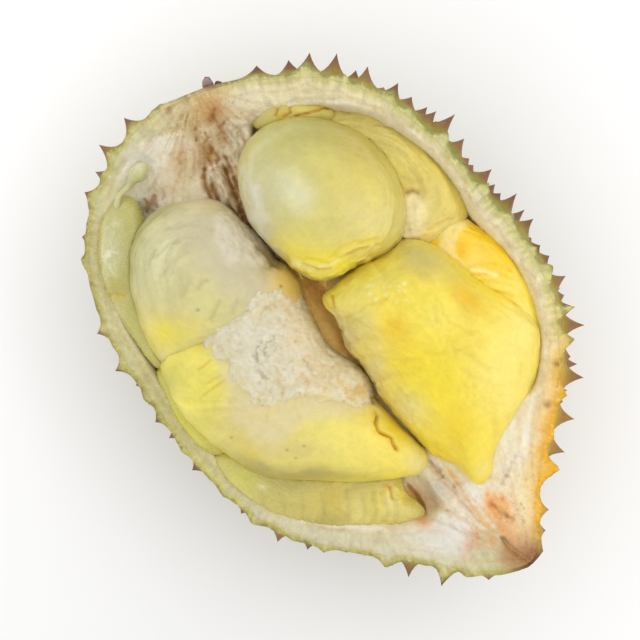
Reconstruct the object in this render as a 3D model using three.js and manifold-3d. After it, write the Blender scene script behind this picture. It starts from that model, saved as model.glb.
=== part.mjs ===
// An opened durian: the thorny half husk with its dividing wall (septum) left in
// place, and the pods of flesh lying in its two chambers. Millimetres, +Z up.
// +X runs from the stem end to the blossom tip, +Y is the side whose wall stands
// higher, and the origin is on the ground below the middle of the fruit.
import * as THREE from "three";
import { ConvexHull } from "three/addons/math/ConvexHull.js";
import { mergeVertices } from "three/addons/utils/BufferGeometryUtils.js";
import Module from "manifold-3d";

// ---- driving dimensions -------------------------------------------------
const HALF_LENGTH = 141.5; // half the husk's length, thorns left out
const X_MID = 12.5; // middle of the husk along X in the design frame
const EQUATOR_Z = 86; // height of the fruit's widest level above the ground
const RIM_SLOPE = 0.145; // how the opening leans: it rises towards +Y
const RIM_WAVE = 1.4; // gentle waviness of the torn rim
const CENTRE_DIP = 17; // how far the septum's edge sinks in the middle
const WALL = 12.5; // husk wall between a chamber and the thorns' valleys
const THORN_PITCH = 14.6; // mean distance between thorns
const THORN_HEIGHT = 9.6; // mean height of a thorn
const SEPTUM_TOP = 2.9; // half thickness of the septum's edge
const SEPTUM_FOOT = 9.5; // half thickness of the septum at the floor
const GAP = 0.35; // clearance between neighbouring pieces
const FOOT = 2.8; // the lowest thorns are blunted by the ground at this height in the design frame
const SHIFT = [-9.54, -8.44, -FOOT]; // puts the origin on the ground below the middle of the piece

// Half widths and depth of the whole fruit, each divided by sin(psi), at psi = 0, 10 .. 180 degrees
// from the stem end to the tip.
const WIDTH_POS = [92, 96, 101, 103, 112, 113, 110, 106, 101.5, 100, 100.5, 97, 86.5, 70.5, 51.5, 38, 35, 38, 40];
const WIDTH_NEG = [90, 91, 93, 96.5, 98, 97, 96.5, 94.8, 93.8, 93.4, 93.5, 92.5, 87, 76, 66, 59, 57, 52, 50];
const DEPTH = [72, 74, 76, 78, 79, 79, 78.5, 78, 77.5, 77, 76.5, 75, 71, 64, 56, 50, 47, 45, 44];
// The chambers' outer limit, in the same form, inside the wall.
const IN_X = [-119.4, 129.8];
const IN_POS = [58, 61.7, 68, 77, 104, 112, 110, 106, 101, 95, 95.5, 95, 90.5, 80, 65, 54.5, 50.7, 48, 46];
const IN_NEG = [58, 60, 67, 75, 79, 79, 77.6, 76.4, 77.8, 80, 81.8, 83, 82.4, 75, 62.5, 48.6, 38.7, 30.8, 28];
const IN_DEPTH = [46, 48, 52, 57, 61, 63, 64, 64.5, 64.5, 64, 63.5, 62, 58, 52, 45, 39, 36, 34, 33];

// The septum's line in plan with its half thickness at the top.
const SEPTUM = [
  [-132, 26, 15], [-117, 23, 12], [-103, 16.5, 8.5], [-88, 9.5, 6], [-72, 5, 4.4], [-54, 2, 3.4], [-36, 1.6, 2.9], [-18, 0.8, 2.9],
  [0.5, -1.5, 2.9], [19, -3.5, 2.9], [39, -2, 3], [62, 0, 3.6], [81, 2, 5], [100, 4.8, 9], [116, 7.5, 15], [134, 10, 22],
];

// Pods of flesh: outline in plan, centre, height of the widest level, how far the
// pod rises above and reaches below it, and the lean of that level along X and Y.
const PODS = {
  pod_upper_centre: {
    c: [-45.4, 37.1], z: 92, up: 31, down: 44, lean: [0, -0.04],
    o: [[-83.9, 13.7], [-88.2, 20.0], [-90.6, 27.2], [-90.7, 35.0], [-88.7, 42.5], [-84.1, 51.1], [-77.6, 58.2], [-67.7, 65.8], [-57.4, 70.7], [-47.4, 72.8], [-37.1, 72.2], [-27.8, 70.1], [-19.8, 66.4], [-12.8, 60.6], [-8.2, 54.7], [-6.5, 48.1], [-7.5, 40.4], [-9.4, 32.3], [-11.2, 23.4], [-12.7, 16.7], [-15.7, 11.8], [-19.4, 8.5], [-25.0, 6.7], [-31.9, 4.7], [-39.6, 3.3], [-48.0, 2.4], [-57.2, 2.1], [-66.8, 4.5], [-75.9, 8.4]],
  },
  pod_lower_right: {
    c: [46.1, 36.6], z: 84, up: 31, down: 46, lean: [-0.1, 0.02],
    o: [[-9.4, 8.3], [-10.6, 16.3], [-10.9, 23.8], [-10.2, 32.8], [-8.8, 45.0], [-7.9, 55.1], [-2.7, 62.0], [5.6, 66.6], [15.1, 69.7], [24.8, 71.4], [34.3, 74.5], [43.7, 78.2], [54.0, 80.7], [63.5, 81.4], [72.0, 79.2], [78.4, 72.6], [84.9, 63.6], [89.1, 53.2], [93.8, 41.9], [98.9, 32.6], [105.1, 25.0], [109.3, 19.4], [110.4, 14.4], [107.3, 11.9], [101.2, 11.7], [94.6, 10.1], [88.2, 6.4], [81.3, 4.4], [71.2, 3.0], [60.8, 1.8], [51.8, 1.9], [44.0, 1.8], [35.1, 3.6], [26.6, 3.5], [19.6, 2.1], [14.6, 3.5], [8.1, 6.0], [1.0, 7.7], [-3.9, 6.0]],
  },
  pod_left_upper: {
    c: [-47.8, -30.1], z: 78, up: 29, down: 45, lean: [0, 0.03],
    o: [[-76.3, -58.6], [-82.5, -54.0], [-87.2, -47.4], [-90.0, -39.3], [-90.5, -31.1], [-88.6, -22.9], [-84.7, -14.5], [-79.0, -6.1], [-70.4, -1.8], [-60.6, -0.8], [-49.3, -0.2], [-38.5, 0.7], [-28.9, 3.1], [-20.6, 2.9], [-13.3, -0.2], [-7.3, -6.5], [-5.4, -15.2], [-7.3, -25.7], [-10.8, -36.9], [-15.2, -47.4], [-19.2, -57.6], [-23.2, -67.8], [-28.3, -73.0], [-38.2, -73.3], [-53.5, -69.7], [-66.5, -64.7]],
  },
  pod_left_lower: {
    c: [21.3, -36.0], z: 79, up: 29, down: 45, lean: [-0.04, 0.02],
    o: [[-29.2, -74.1], [-34.8, -68.7], [-36.5, -61.4], [-34.4, -52.2], [-30.2, -40.3], [-26.9, -27.8], [-22.8, -17.7], [-17.4, -8.0], [-10.7, -2.2], [1.2, -3.3], [11.5, -3.8], [21.0, -0.8], [29.2, 2.1], [36.7, 2.5], [44.0, -0.6], [53.4, 0.8], [63.2, 1.8], [73.2, 3.3], [81.4, 3.7], [86.3, 0.7], [87.9, -6.0], [83.7, -14.8], [77.3, -25.0], [70.5, -34.8], [61.4, -46.1], [53.0, -56.5], [45.5, -64.1], [36.7, -69.5], [27.6, -73.5], [18.1, -76.6], [8.2, -78.7], [-2.7, -79.6], [-13.1, -79.0], [-21.9, -77.2]],
  },
  pod_upper_right: {
    c: [-38.2, 66.7], z: 66, up: 26, down: 34, lean: [0, 0.14],
    o: [[-80.3, 48.2], [-83.9, 54.5], [-81.2, 62.1], [-77.0, 70.9], [-68.5, 79.0], [-58.8, 84.9], [-49.3, 88.6], [-40.0, 90.6], [-30.0, 92.1], [-20.7, 92.4], [-11.2, 90.6], [-3.0, 88.0], [1.5, 85.2], [-1.0, 78.7], [-3.1, 71.9], [-4.2, 63.2], [-8.4, 54.3], [-17.6, 46.2], [-33.9, 40.4], [-56.0, 39.0], [-71.2, 42.6]],
  },
  pod_right_edge: {
    c: [37.2, 75.3], z: 66, up: 24, down: 34, lean: [0, 0.1],
    o: [[5.0, 68.3], [2.0, 74.7], [0.5, 80.6], [1.2, 85.5], [6.9, 88.4], [15.9, 90.0], [25.3, 91.4], [35.6, 91.5], [46.5, 90.0], [56.8, 87.0], [66.4, 82.2], [74.9, 75.8], [78.7, 68.2], [75.4, 60.5], [65.5, 52.9], [50.6, 49.1], [34.2, 51.2], [18.4, 58.2]],
  },
  pod_upper_end: {
    c: [-87.5, 48.2], z: 80, up: 9, down: 22, lean: [0, 0.1],
    o: [[-96.7, 31.1], [-99.1, 35.9], [-98.9, 41.8], [-96.4, 48.3], [-91.1, 54.5], [-85.2, 60.9], [-79.4, 66.1], [-75.3, 66.0], [-73.2, 60.9], [-76.6, 51.5], [-81.6, 43.2], [-88.3, 35.0], [-92.8, 30.6]],
  },
  pod_bottom_left: {
    c: [67.9, -50.9], z: 66, up: 11, down: 32, lean: [0.02, 0],
    o: [[21.1, -80.6], [22.6, -73.9], [29.0, -63.7], [42.4, -49.8], [58.8, -32.1], [73.6, -16.2], [82.4, -12.6], [88.5, -14.8], [93.5, -16.1], [98.4, -14.4], [103.8, -13.6], [107.2, -16.2], [107.8, -20.3], [102.9, -29.2], [94.7, -41.0], [86.0, -52.5], [76.9, -63.1], [67.1, -71.3], [57.6, -76.8], [47.1, -80.4], [36.8, -82.2], [27.9, -82.8]],
  },
  pod_left_edge: {
    c: [-71.4, -61.6], z: 66, up: 10, down: 32, lean: [0, 0],
    o: [[-107.7, -45.2], [-107.5, -39.4], [-103.2, -36.0], [-95.9, -36.7], [-85.4, -40.3], [-72.2, -46.7], [-58.9, -53.0], [-45.1, -58.6], [-31.9, -64.9], [-26.7, -72.4], [-28.8, -76.8], [-35.4, -78.4], [-47.1, -78.0], [-57.9, -77.2], [-69.5, -75.1], [-81.3, -71.6], [-91.7, -66.2], [-101.1, -58.0], [-106.3, -50.5]],
  },
  pod_left_low_edge: {
    c: [-2.9, -75.8], z: 66, up: 9, down: 28, lean: [0, 0],
    o: [[-28.6, -78.1], [-28.6, -73.3], [-25.2, -68.7], [-17.3, -66.2], [-6.3, -66.0], [5.4, -66.4], [16.5, -67.6], [23.8, -70.7], [24.6, -76.0], [20.5, -81.4], [13.1, -84.2], [2.2, -85.1], [-8.9, -83.9], [-19.6, -81.3]],
  },
};
const BUD = [-108.5, -27, 74.5]; // middle of the undeveloped pod
const COLOURS = {
  husk: ["#a8a45a", 0.75], pod_upper_centre: ["#d6cb76", 0.42], pod_lower_right: ["#ecd655", 0.42], pod_left_upper: ["#cfc27c", 0.45],
  pod_left_lower: ["#dfc962", 0.45], pod_upper_right: ["#c8b558", 0.42], pod_right_edge: ["#ebc437", 0.42], pod_upper_end: ["#cdbb5c", 0.42],
  pod_bottom_left: ["#c3b54f", 0.4], pod_left_edge: ["#bdb25c", 0.4], pod_left_low_edge: ["#c6bd3f", 0.4], undeveloped_pod: ["#b9be86", 0.35],
};

const wasm = await Module();
wasm.setup();

// ---- helpers --------------------------------------------------------------
const lerp = (a, b, t) => a + (b - a) * t;
const clamp = (v, a, b) => Math.min(b, Math.max(a, v));

// Catmull-Rom value of a table given at psi = 0, 10 .. 180 degrees.
function table(values, psi) {
  const u = clamp(psi / Math.PI, 0, 1) * (values.length - 1);
  const i = Math.min(values.length - 2, Math.floor(u)), t = u - i;
  const at = (k) => values[clamp(k, 0, values.length - 1)];
  const [a, b, c, d] = [at(i - 1), at(i), at(i + 1), at(i + 2)];
  return 0.5 * (2 * b + (c - a) * t + (2 * a - 5 * b + 4 * c - d) * t * t + (3 * b - a - 3 * c + d) * t * t * t);
}
const axisY = (x) => lerp(-8, 11.5, clamp((x + 129) / 283, 0, 1));
const chamberY = (x) => lerp(-19, 10.7, clamp((x + 119.5) / 249.3, 0, 1));

// The fruit's skin between the thorns. phi 0 is +Y, 90 degrees is straight down, 180 is -Y.
function skin(psi, phi) {
  const x = X_MID - HALF_LENGTH * Math.cos(psi), s = Math.sin(psi), c = Math.cos(phi), d = Math.sin(phi);
  const lobes = 1 + 0.022 * Math.cos(4 * (phi - Math.PI / 4)) * Math.max(0, d) ** 2 * s; // two chambers bulge, with a shallow valley between
  return new THREE.Vector3(
    x,
    axisY(x) + s * (c >= 0 ? table(WIDTH_POS, psi) : table(WIDTH_NEG, psi)) * c * lobes,
    EQUATOR_Z - s * table(DEPTH, psi) * d * lobes * (d > 0 ? 1 : 0.8),
  );
}
function skinNormal(psi, phi) {
  const e = 1e-3, p = clamp(psi, 0.02, Math.PI - 0.02);
  const a = skin(p + e, phi).sub(skin(p - e, phi)), b = skin(p, phi + e).sub(skin(p, phi - e));
  return a.cross(b).normalize();
}

// A closed solid from indexed triangles.
function solid(vertices, triangles) {
  const g = new THREE.BufferGeometry();
  g.setAttribute("position", new THREE.BufferAttribute(new Float32Array(vertices.flat()), 3));
  g.setIndex(triangles.flat());
  const m = mergeVertices(g, 1e-4);
  const index = [];
  for (let i = 0; i < m.index.count; i += 3) {
    const [a, b, c] = [m.index.getX(i), m.index.getX(i + 1), m.index.getX(i + 2)];
    if (a !== b && b !== c && a !== c) index.push(a, b, c);
  }
  let made = new wasm.Manifold(new wasm.Mesh({ numProp: 3, vertProperties: m.attributes.position.array, triVerts: new Uint32Array(index) }));
  if (made.volume() < 0) {
    for (let i = 0; i < index.length; i += 3) [index[i + 1], index[i + 2]] = [index[i + 2], index[i + 1]];
    made = new wasm.Manifold(new wasm.Mesh({ numProp: 3, vertProperties: m.attributes.position.array, triVerts: new Uint32Array(index) }));
  }
  return made;
}
// A closed solid from a THREE geometry with shared corners.
function fromGeometry(geometry) {
  const g = geometry.index ? geometry.toNonIndexed() : geometry.clone();
  const p = g.attributes.position, v = [], t = [];
  for (let i = 0; i < p.count; i++) { v.push([p.getX(i), p.getY(i), p.getZ(i)]); if (i % 3 === 0) t.push([i, i + 1, i + 2]); }
  return solid(v, t);
}
// Rings of points joined into a closed solid with a pole at each end.
function rings(list, first, last) {
  const n = list[0].length, v = [first, ...list.flat(), last], t = [];
  const at = (k, j) => 1 + k * n + ((j + n) % n);
  for (let j = 0; j < n; j++) {
    t.push([0, at(0, j), at(0, j + 1)]);
    for (let k = 0; k + 1 < list.length; k++) t.push([at(k, j), at(k + 1, j), at(k, j + 1)], [at(k, j + 1), at(k + 1, j), at(k + 1, j + 1)]);
    t.push([v.length - 1, at(list.length - 1, j + 1), at(list.length - 1, j)]);
  }
  return solid(v, t);
}

// ---- thorny skin ------------------------------------------------------------
// Thorns sit on a golden-angle spiral from the stem end to the tip, spaced evenly by area. The skin is
// mapped to a sphere without changing small shapes, where the thorns' cells are found.
const RAD = (psi) => Math.sin(psi) * (table(WIDTH_POS, psi) + table(WIDTH_NEG, psi) + table(DEPTH, psi) * 1.9) / 3.9;
const STEPS = 3000, profile = { psi: [], area: [], q: [] };
{
  let area = 0, q = 0;
  for (let i = 0; i <= STEPS; i++) {
    const psi = lerp(0.012, Math.PI - 0.012, i / STEPS);
    if (i) {
      const last = profile.psi[i - 1], r = (RAD(psi) + RAD(last)) / 2;
      const ds = Math.hypot(HALF_LENGTH * (Math.cos(last) - Math.cos(psi)), RAD(psi) - RAD(last));
      area += 2 * Math.PI * r * ds;
      q += ds / r;
    }
    profile.psi.push(psi); profile.area.push(area); profile.q.push(q);
  }
}
function lookup(xs, ys, x) {
  let lo = 0, hi = xs.length - 1;
  while (hi - lo > 1) { const m = (lo + hi) >> 1; if (xs[m] <= x) lo = m; else hi = m; }
  return lerp(ys[lo], ys[hi], clamp((x - xs[lo]) / (xs[hi] - xs[lo] || 1), 0, 1));
}
const rand = (i, k) => { const s = Math.sin(i * 127.1 + k * 311.7 + 17.3) * 43758.5453; return s - Math.floor(s); };
const TOTAL = profile.area[STEPS], COUNT = Math.round(TOTAL / (0.866 * THORN_PITCH ** 2)), Q_MID = profile.q[STEPS] / 2;
const thorns = [];
for (let i = 0; i < COUNT; i++) {
  const psi = lookup(profile.area, profile.psi, TOTAL * (i + 0.5 + 0.5 * (rand(i, 1) - 0.5)) / COUNT);
  const jitter = (rand(i, 2) - 0.5) * 3.4 / Math.max(12, RAD(psi));
  const phi = (((i * Math.PI * (3 - Math.sqrt(5)) + jitter) % (2 * Math.PI)) + 2 * Math.PI) % (2 * Math.PI);
  thorns.push({ psi, phi });
}
const onSphere = (psi, phi) => {
  const t = 2 * Math.atan(Math.exp(lookup(profile.psi, profile.q, psi) - Q_MID));
  return new THREE.Vector3(Math.cos(t), Math.sin(t) * Math.cos(phi), Math.sin(t) * Math.sin(phi));
};
const spots = thorns.map((t) => onSphere(t.psi, t.phi));
spots.forEach((p, i) => { p.id = i; });
const hull = new ConvexHull().setFromPoints(spots);
const corners = [], around = thorns.map(() => []);
for (const face of hull.faces) {
  const ids = [];
  let e = face.edge;
  do { ids.push(e.head().point.id); e = e.next; } while (e !== face.edge);
  const n = face.normal.clone().normalize();
  const t = Math.acos(clamp(n.x, -1, 1)), psi = lookup(profile.q, profile.psi, Math.log(Math.tan(clamp(t, 1e-4, Math.PI - 1e-4) / 2)) + Q_MID);
  const k = corners.push({ n, p: skin(psi, Math.atan2(n.z, n.y)) }) - 1;
  for (const id of ids) around[id].push(k);
}
const STEM = [-126, 20], TIP = [153, 12.5]; // scars at the two ends
const vertices = corners.map((c) => c.p.toArray()), triangles = [];
thorns.forEach((t, i) => {
  const c = spots[i], base = skin(t.psi, t.phi), n = skinNormal(t.psi, t.phi);
  const u = new THREE.Vector3(0, 0, 1).cross(c).normalize(), w = c.clone().cross(u);
  const ring = around[i].map((k) => [Math.atan2(corners[k].n.dot(w), corners[k].n.dot(u)), k]).sort((a, b) => a[0] - b[0]).map((a) => a[1]);
  const ends = Math.min(0.55 * Math.hypot(base.x - STEM[0], base.y - STEM[1]) - 3, 0.6 * Math.hypot(base.x - TIP[0], base.y - TIP[1]) - 2);
  const low = 1 - 0.42 * clamp((-base.y - 20) / 50, 0, 1) * clamp((base.z - 38) / 30, 0, 1); // shorter towards the lower rim
  const h = THORN_HEIGHT * lerp(0.78, 1.2, rand(i, 3)) * clamp(ends / 26, 0.12, 1) * low;
  const lean = new THREE.Vector3(rand(i, 4) - 0.5, rand(i, 5) - 0.5, rand(i, 6) - 0.5).multiplyScalar(0.32);
  const tip = base.clone().addScaledVector(n.clone().add(lean).normalize(), h);
  const k0 = vertices.push(tip.toArray()) - 1;
  ring.forEach((a, j) => triangles.push([k0, a, ring[(j + 1) % ring.length]]));
});
const fruit = solid(vertices, triangles);

// ---- the opening and the chambers ----------------------------------------------
const rimZ = (x, y) => {
  const wave = RIM_WAVE * (Math.sin(x / 19 + 0.6) * Math.cos(y / 23) + 0.6 * Math.sin(x / 9.5 + y / 13));
  const dip = CENTRE_DIP * Math.exp(-(((x - 12) / 62) ** 4) - (((y - 2) / 42) ** 4));
  return EQUATOR_Z + RIM_SLOPE * (y - 5) + wave - dip;
};
function lid() {
  const [nx, ny] = [44, 36], v = [], t = [], X = (i) => lerp(-175, 200, i / nx), Y = (j) => lerp(-135, 150, j / ny);
  for (const top of [0, 1]) for (let i = 0; i <= nx; i++) for (let j = 0; j <= ny; j++) v.push([X(i), Y(j), top ? 240 : rimZ(X(i), Y(j))]);
  const at = (k, i, j) => k * (nx + 1) * (ny + 1) + i * (ny + 1) + j;
  for (let i = 0; i < nx; i++) for (let j = 0; j < ny; j++) {
    t.push([at(0, i, j), at(0, i, j + 1), at(0, i + 1, j)], [at(0, i + 1, j), at(0, i, j + 1), at(0, i + 1, j + 1)]);
    t.push([at(1, i, j), at(1, i + 1, j), at(1, i, j + 1)], [at(1, i + 1, j), at(1, i + 1, j + 1), at(1, i, j + 1)]);
  }
  const wall = (a, b) => { t.push([at(0, ...a), at(0, ...b), at(1, ...a)], [at(0, ...b), at(1, ...b), at(1, ...a)]); };
  for (let i = 0; i < nx; i++) { wall([i, 0], [i + 1, 0]); wall([i + 1, ny], [i, ny]); }
  for (let j = 0; j < ny; j++) { wall([0, j + 1], [0, j]); wall([nx, j], [nx, j + 1]); }
  return solid(v, t);
}
function chambers(shrink = 0) {
  const list = [], across = 30, along = 22, xm = (IN_X[0] + IN_X[1]) / 2, half = (IN_X[1] - IN_X[0]) / 2 - shrink;
  for (let k = 1; k < along; k++) {
    const psi = Math.PI * k / along, s = Math.sin(psi), x = xm - half * Math.cos(psi);
    list.push(Array.from({ length: across }, (_, j) => {
      const phi = 2 * Math.PI * j / across, c = Math.cos(phi), d = Math.sin(phi);
      const w = Math.max(2, s * table(c >= 0 ? IN_POS : IN_NEG, psi) - shrink), h = Math.max(2, s * table(IN_DEPTH, psi) - shrink);
      return [x, chamberY(x) + w * c, d > 0 ? EQUATOR_Z - h * d : EQUATOR_Z - 110 * s * d];
    }));
  }
  const [a, b] = [xm - half, xm + half];
  return rings(list, [a, chamberY(a), EQUATOR_Z], [b, chamberY(b), EQUATOR_Z]);
}
function septum() {
  const v = [], t = [], n = SEPTUM.length, levels = [[4, 1.9], [22, 1.25], [40, 0.55], [62, 0.1], [210, 0]];
  SEPTUM.forEach(([x, y, top], i) => {
    const a = SEPTUM[Math.max(0, i - 1)], b = SEPTUM[Math.min(n - 1, i + 1)], l = Math.hypot(b[0] - a[0], b[1] - a[1]);
    const nx = -(b[1] - a[1]) / l, ny = (b[0] - a[0]) / l;
    for (const side of [1, -1]) for (const [z, f] of side > 0 ? levels : [...levels].reverse()) {
      const w = side * (top + f * SEPTUM_FOOT);
      v.push([x + nx * w, y + ny * w, z]);
    }
  });
  const m = 2 * levels.length;
  for (let i = 0; i + 1 < n; i++) for (let j = 0; j < m; j++) {
    const [a, b, c, d] = [i * m + j, i * m + ((j + 1) % m), (i + 1) * m + j, (i + 1) * m + ((j + 1) % m)];
    t.push([a, c, b], [b, c, d]);
  }
  for (let j = 1; j + 1 < m; j++) { t.push([0, j, j + 1]); t.push([(n - 1) * m, (n - 1) * m + j + 1, (n - 1) * m + j]); }
  return solid(v, t);
}

// ---- pods -----------------------------------------------------------------
function podSolid(p, grow = 0, around = 26, levels = 11) {
  const n = p.o.length, curve = new THREE.CatmullRomCurve3(p.o.map(([x, y]) => new THREE.Vector3(x, y, 0)), true, "centripetal");
  const pts = curve.getSpacedPoints(around).slice(0, around);
  const [cx, cy] = p.c, list = [];
  for (let k = 1; k < levels; k++) {
    const v = -Math.PI / 2 + Math.PI * k / levels, g = Math.cos(v) ** 0.86, h = Math.sign(v) * Math.abs(Math.sin(v)) ** 1.0;
    list.push(pts.map((q) => {
      const dx = q.x - cx, dy = q.y - cy, l = Math.hypot(dx, dy), f = (l + grow) / l * g;
      const x = cx + dx * f, y = cy + dy * f;
      return [x, y, p.z + p.lean[0] * (x - cx) + p.lean[1] * (y - cy) + h * ((h > 0 ? p.up : p.down) + grow)];
    }));
  }
  return rings(list, [cx, cy, p.z - p.down - grow], [cx, cy, p.z + p.up + grow]);
}

const order = Object.keys(PODS); // a pod gives way to those before it
const made = {};
const inner = chambers(), ground = fromGeometry(new THREE.BoxGeometry(500, 500, 100).translate(0, 0, FOOT - 50));
const inside = inner.subtract(septum()), room = chambers(GAP);
for (const [i, name] of order.entries()) {
  let s = podSolid(PODS[name]).intersect(room);
  for (const before of order.slice(0, i)) s = s.subtract(podSolid(PODS[before], GAP));
  made[name] = s;
}
let husk = fruit.subtract(ground).subtract(lid()).subtract(inside);
for (const name of order) husk = husk.subtract(podSolid(PODS[name], GAP).intersect(inner));

// A tiny pod that never filled out, on its stalk against the chamber wall.
function bud(grow) {
  const outline = [[0, -5.6], [1.9, -4.9], [3.2, -2.8], [3.6, 0], [3, 2.8], [1.9, 5.4], [1.2, 8], [1.1, 11.5], [0, 12]];
  const g = new THREE.LatheGeometry(outline.map(([r, y]) => new THREE.Vector2(r ? r + grow : 0, y + Math.sign(y) * grow)), 10);
  return fromGeometry(g.scale(1, 1, 0.85).rotateX(Math.PI - 0.42).rotateZ(0.18).translate(...BUD));
}
made.undeveloped_pod = bud(0);
husk = husk.subtract(bud(GAP));

// ---- the scene ------------------------------------------------------------
const group = new THREE.Group();
const largest = (s) => { const parts = s.decompose(); return parts.reduce((a, b) => (b.volume() > a.volume() ? b : a)); };
function add(name, s) {
  const mesh = largest(s).getMesh(), g = new THREE.BufferGeometry();
  const v = new Float32Array(mesh.numVert * 3);
  for (let i = 0; i < mesh.numVert; i++) v.set(mesh.vertProperties.subarray(i * mesh.numProp, i * mesh.numProp + 3), i * 3);
  g.setAttribute("position", new THREE.BufferAttribute(v, 3));
  g.setIndex(new THREE.BufferAttribute(mesh.triVerts, 1));
  g.computeVertexNormals();
  const [color, roughness] = COLOURS[name];
  const m = new THREE.Mesh(g, new THREE.MeshStandardMaterial({ color, roughness, metalness: 0 }));
  m.name = name;
  group.add(m);
}
add("husk", husk);
for (const name in made) add(name, made[name]);
group.position.set(...SHIFT);

export default group;
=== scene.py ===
import math

import bmesh
import bpy
import numpy as np
from mathutils.bvhtree import BVHTree
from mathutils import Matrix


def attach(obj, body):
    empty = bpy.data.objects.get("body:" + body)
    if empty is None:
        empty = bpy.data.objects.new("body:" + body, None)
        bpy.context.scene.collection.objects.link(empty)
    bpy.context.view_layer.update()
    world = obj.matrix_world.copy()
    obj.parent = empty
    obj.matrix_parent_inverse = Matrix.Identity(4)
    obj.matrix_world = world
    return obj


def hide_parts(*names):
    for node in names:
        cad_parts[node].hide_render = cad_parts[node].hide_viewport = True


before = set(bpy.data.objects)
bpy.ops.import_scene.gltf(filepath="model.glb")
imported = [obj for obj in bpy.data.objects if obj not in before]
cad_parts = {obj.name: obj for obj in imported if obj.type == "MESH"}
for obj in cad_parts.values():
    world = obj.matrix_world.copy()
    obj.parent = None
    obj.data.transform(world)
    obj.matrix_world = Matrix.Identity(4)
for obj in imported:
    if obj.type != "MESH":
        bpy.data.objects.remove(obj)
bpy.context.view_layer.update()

# All shaping is done in millimetres in the design frame of the CAD source; SHIFT takes it to the row frame.
SHIFT = np.array([-9.54, -8.44, -2.8])
HALF_LENGTH, X_MID, EQUATOR_Z = 141.5, 12.5, 86.0
RIM_SLOPE, RIM_WAVE, CENTRE_DIP = 0.145, 1.4, 17.0
THORN_PITCH, THORN_HEIGHT = 14.6, 9.6
FOOT = 2.8
WIDTH_POS = np.array([92, 96, 101, 103, 112, 113, 110, 106, 101.5, 100, 100.5, 97, 86.5, 70.5, 51.5, 38, 35, 38, 40], float)
WIDTH_NEG = np.array([90, 91, 93, 96.5, 98, 97, 96.5, 94.8, 93.8, 93.4, 93.5, 92.5, 87, 76, 66, 59, 57, 52, 50], float)
DEPTH = np.array([72, 74, 76, 78, 79, 79, 78.5, 78, 77.5, 77, 76.5, 75, 71, 64, 56, 50, 47, 45, 44], float)
IN_X = (-119.4, 129.8)
IN_POS = np.array([58, 61.7, 68, 77, 104, 112, 110, 106, 101, 95, 95.5, 95, 90.5, 80, 65, 54.5, 50.7, 48, 46], float)
IN_NEG = np.array([58, 60, 67, 75, 79, 79, 77.6, 76.4, 77.8, 80, 81.8, 83, 82.4, 75, 62.5, 48.6, 38.7, 30.8, 28], float)
IN_DEPTH = np.array([46, 48, 52, 57, 61, 63, 64, 64.5, 64.5, 64, 63.5, 62, 58, 52, 45, 39, 36, 34, 33], float)
SEPTUM = np.array([
    [-132, 26, 15], [-117, 23, 12], [-103, 16.5, 8.5], [-88, 9.5, 6], [-72, 5, 4.4], [-54, 2, 3.4], [-36, 1.6, 2.9], [-18, 0.8, 2.9],
    [0.5, -1.5, 2.9], [19, -3.5, 2.9], [39, -2, 3], [62, 0, 3.6], [81, 2, 5], [100, 4.8, 9], [116, 7.5, 15], [134, 10, 22]])
STEM, TIP = np.array([-126.0, 20.0]), np.array([153.0, 12.5])
# How much further out the skin between the thorns stands, by station from the stem end, on the high and on the low side.
FULL_AT = np.radians([0, 20, 29, 40, 50, 58, 67, 75, 83, 90, 98, 106, 114, 122, 129, 137, 146, 160, 180])
FULL_HIGH = np.array([2.0, 3.4, 5.0, 4.2, 3.0, 3.0, 1.6, 1.2, 0.3, 0.9, 0.5, 0.5, 1.4, 2.4, 1.4, 0.8, 0.4, 1.0, 1.0])
FULL_LOW = np.array([0.6, 1.8, 4.0, 4.4, 3.2, 1.8, -0.6, -1.0, -0.4, 0.2, 0.6, 1.4, 0.8, 0.8, 0.3, 0.3, 0.4, 0.8, 0.8])


# ---------------------------------------------------------------- numbers
def lerp(a, b, t):
    return a + (b - a) * t


def sstep(a, b, x):
    t = np.clip((x - a) / (b - a), 0, 1)
    return t * t * (3 - 2 * t)


def table(values, psi):
    n = len(values)
    u = np.clip(np.asarray(psi, float) / math.pi, 0, 1) * (n - 1)
    i = np.minimum(n - 2, np.floor(u)).astype(int)
    t = u - i
    a, b = values[np.maximum(i - 1, 0)], values[i]
    c, d = values[i + 1], values[np.minimum(i + 2, n - 1)]
    return 0.5 * (2 * b + (c - a) * t + (2 * a - 5 * b + 4 * c - d) * t * t + (3 * b - a - 3 * c + d) * t ** 3)


def hash01(i, k):
    s = np.sin(i * 127.1 + k * 311.7 + 17.3) * 43758.5453
    return s - np.floor(s)


def vnoise(p, seed=0.0):
    """Smooth value noise of points (..., 3) with unit cells, from -1 to 1."""
    p = np.asarray(p, float) + seed * 17.137
    i = np.floor(p).astype(np.int64)
    f = p - i
    f = f * f * f * (f * (f * 6 - 15) + 10)

    def h(dx, dy, dz):
        n = (i[..., 0] + dx) * 73856093 ^ (i[..., 1] + dy) * 19349663 ^ (i[..., 2] + dz) * 83492791
        n = (n ^ (n >> 13)) * 1274126177 & 0x7FFFFFFF
        n = (n ^ (n >> 16)) & 0xFFFF
        return n / 32767.5 - 1

    x, y, z = f[..., 0], f[..., 1], f[..., 2]
    a = lerp(lerp(h(0, 0, 0), h(1, 0, 0), x), lerp(h(0, 1, 0), h(1, 1, 0), x), y)
    b = lerp(lerp(h(0, 0, 1), h(1, 0, 1), x), lerp(h(0, 1, 1), h(1, 1, 1), x), y)
    return lerp(a, b, z)


def fbm(p, octaves=4, seed=0.0, gain=0.5):
    p = np.asarray(p, float)
    total, amp, out = 0.0, 1.0, 0.0
    for o in range(octaves):
        out = out + amp * vnoise(p * 2.03 ** o, seed + o * 3.1)
        total += amp
        amp *= gain
    return out / total


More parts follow.
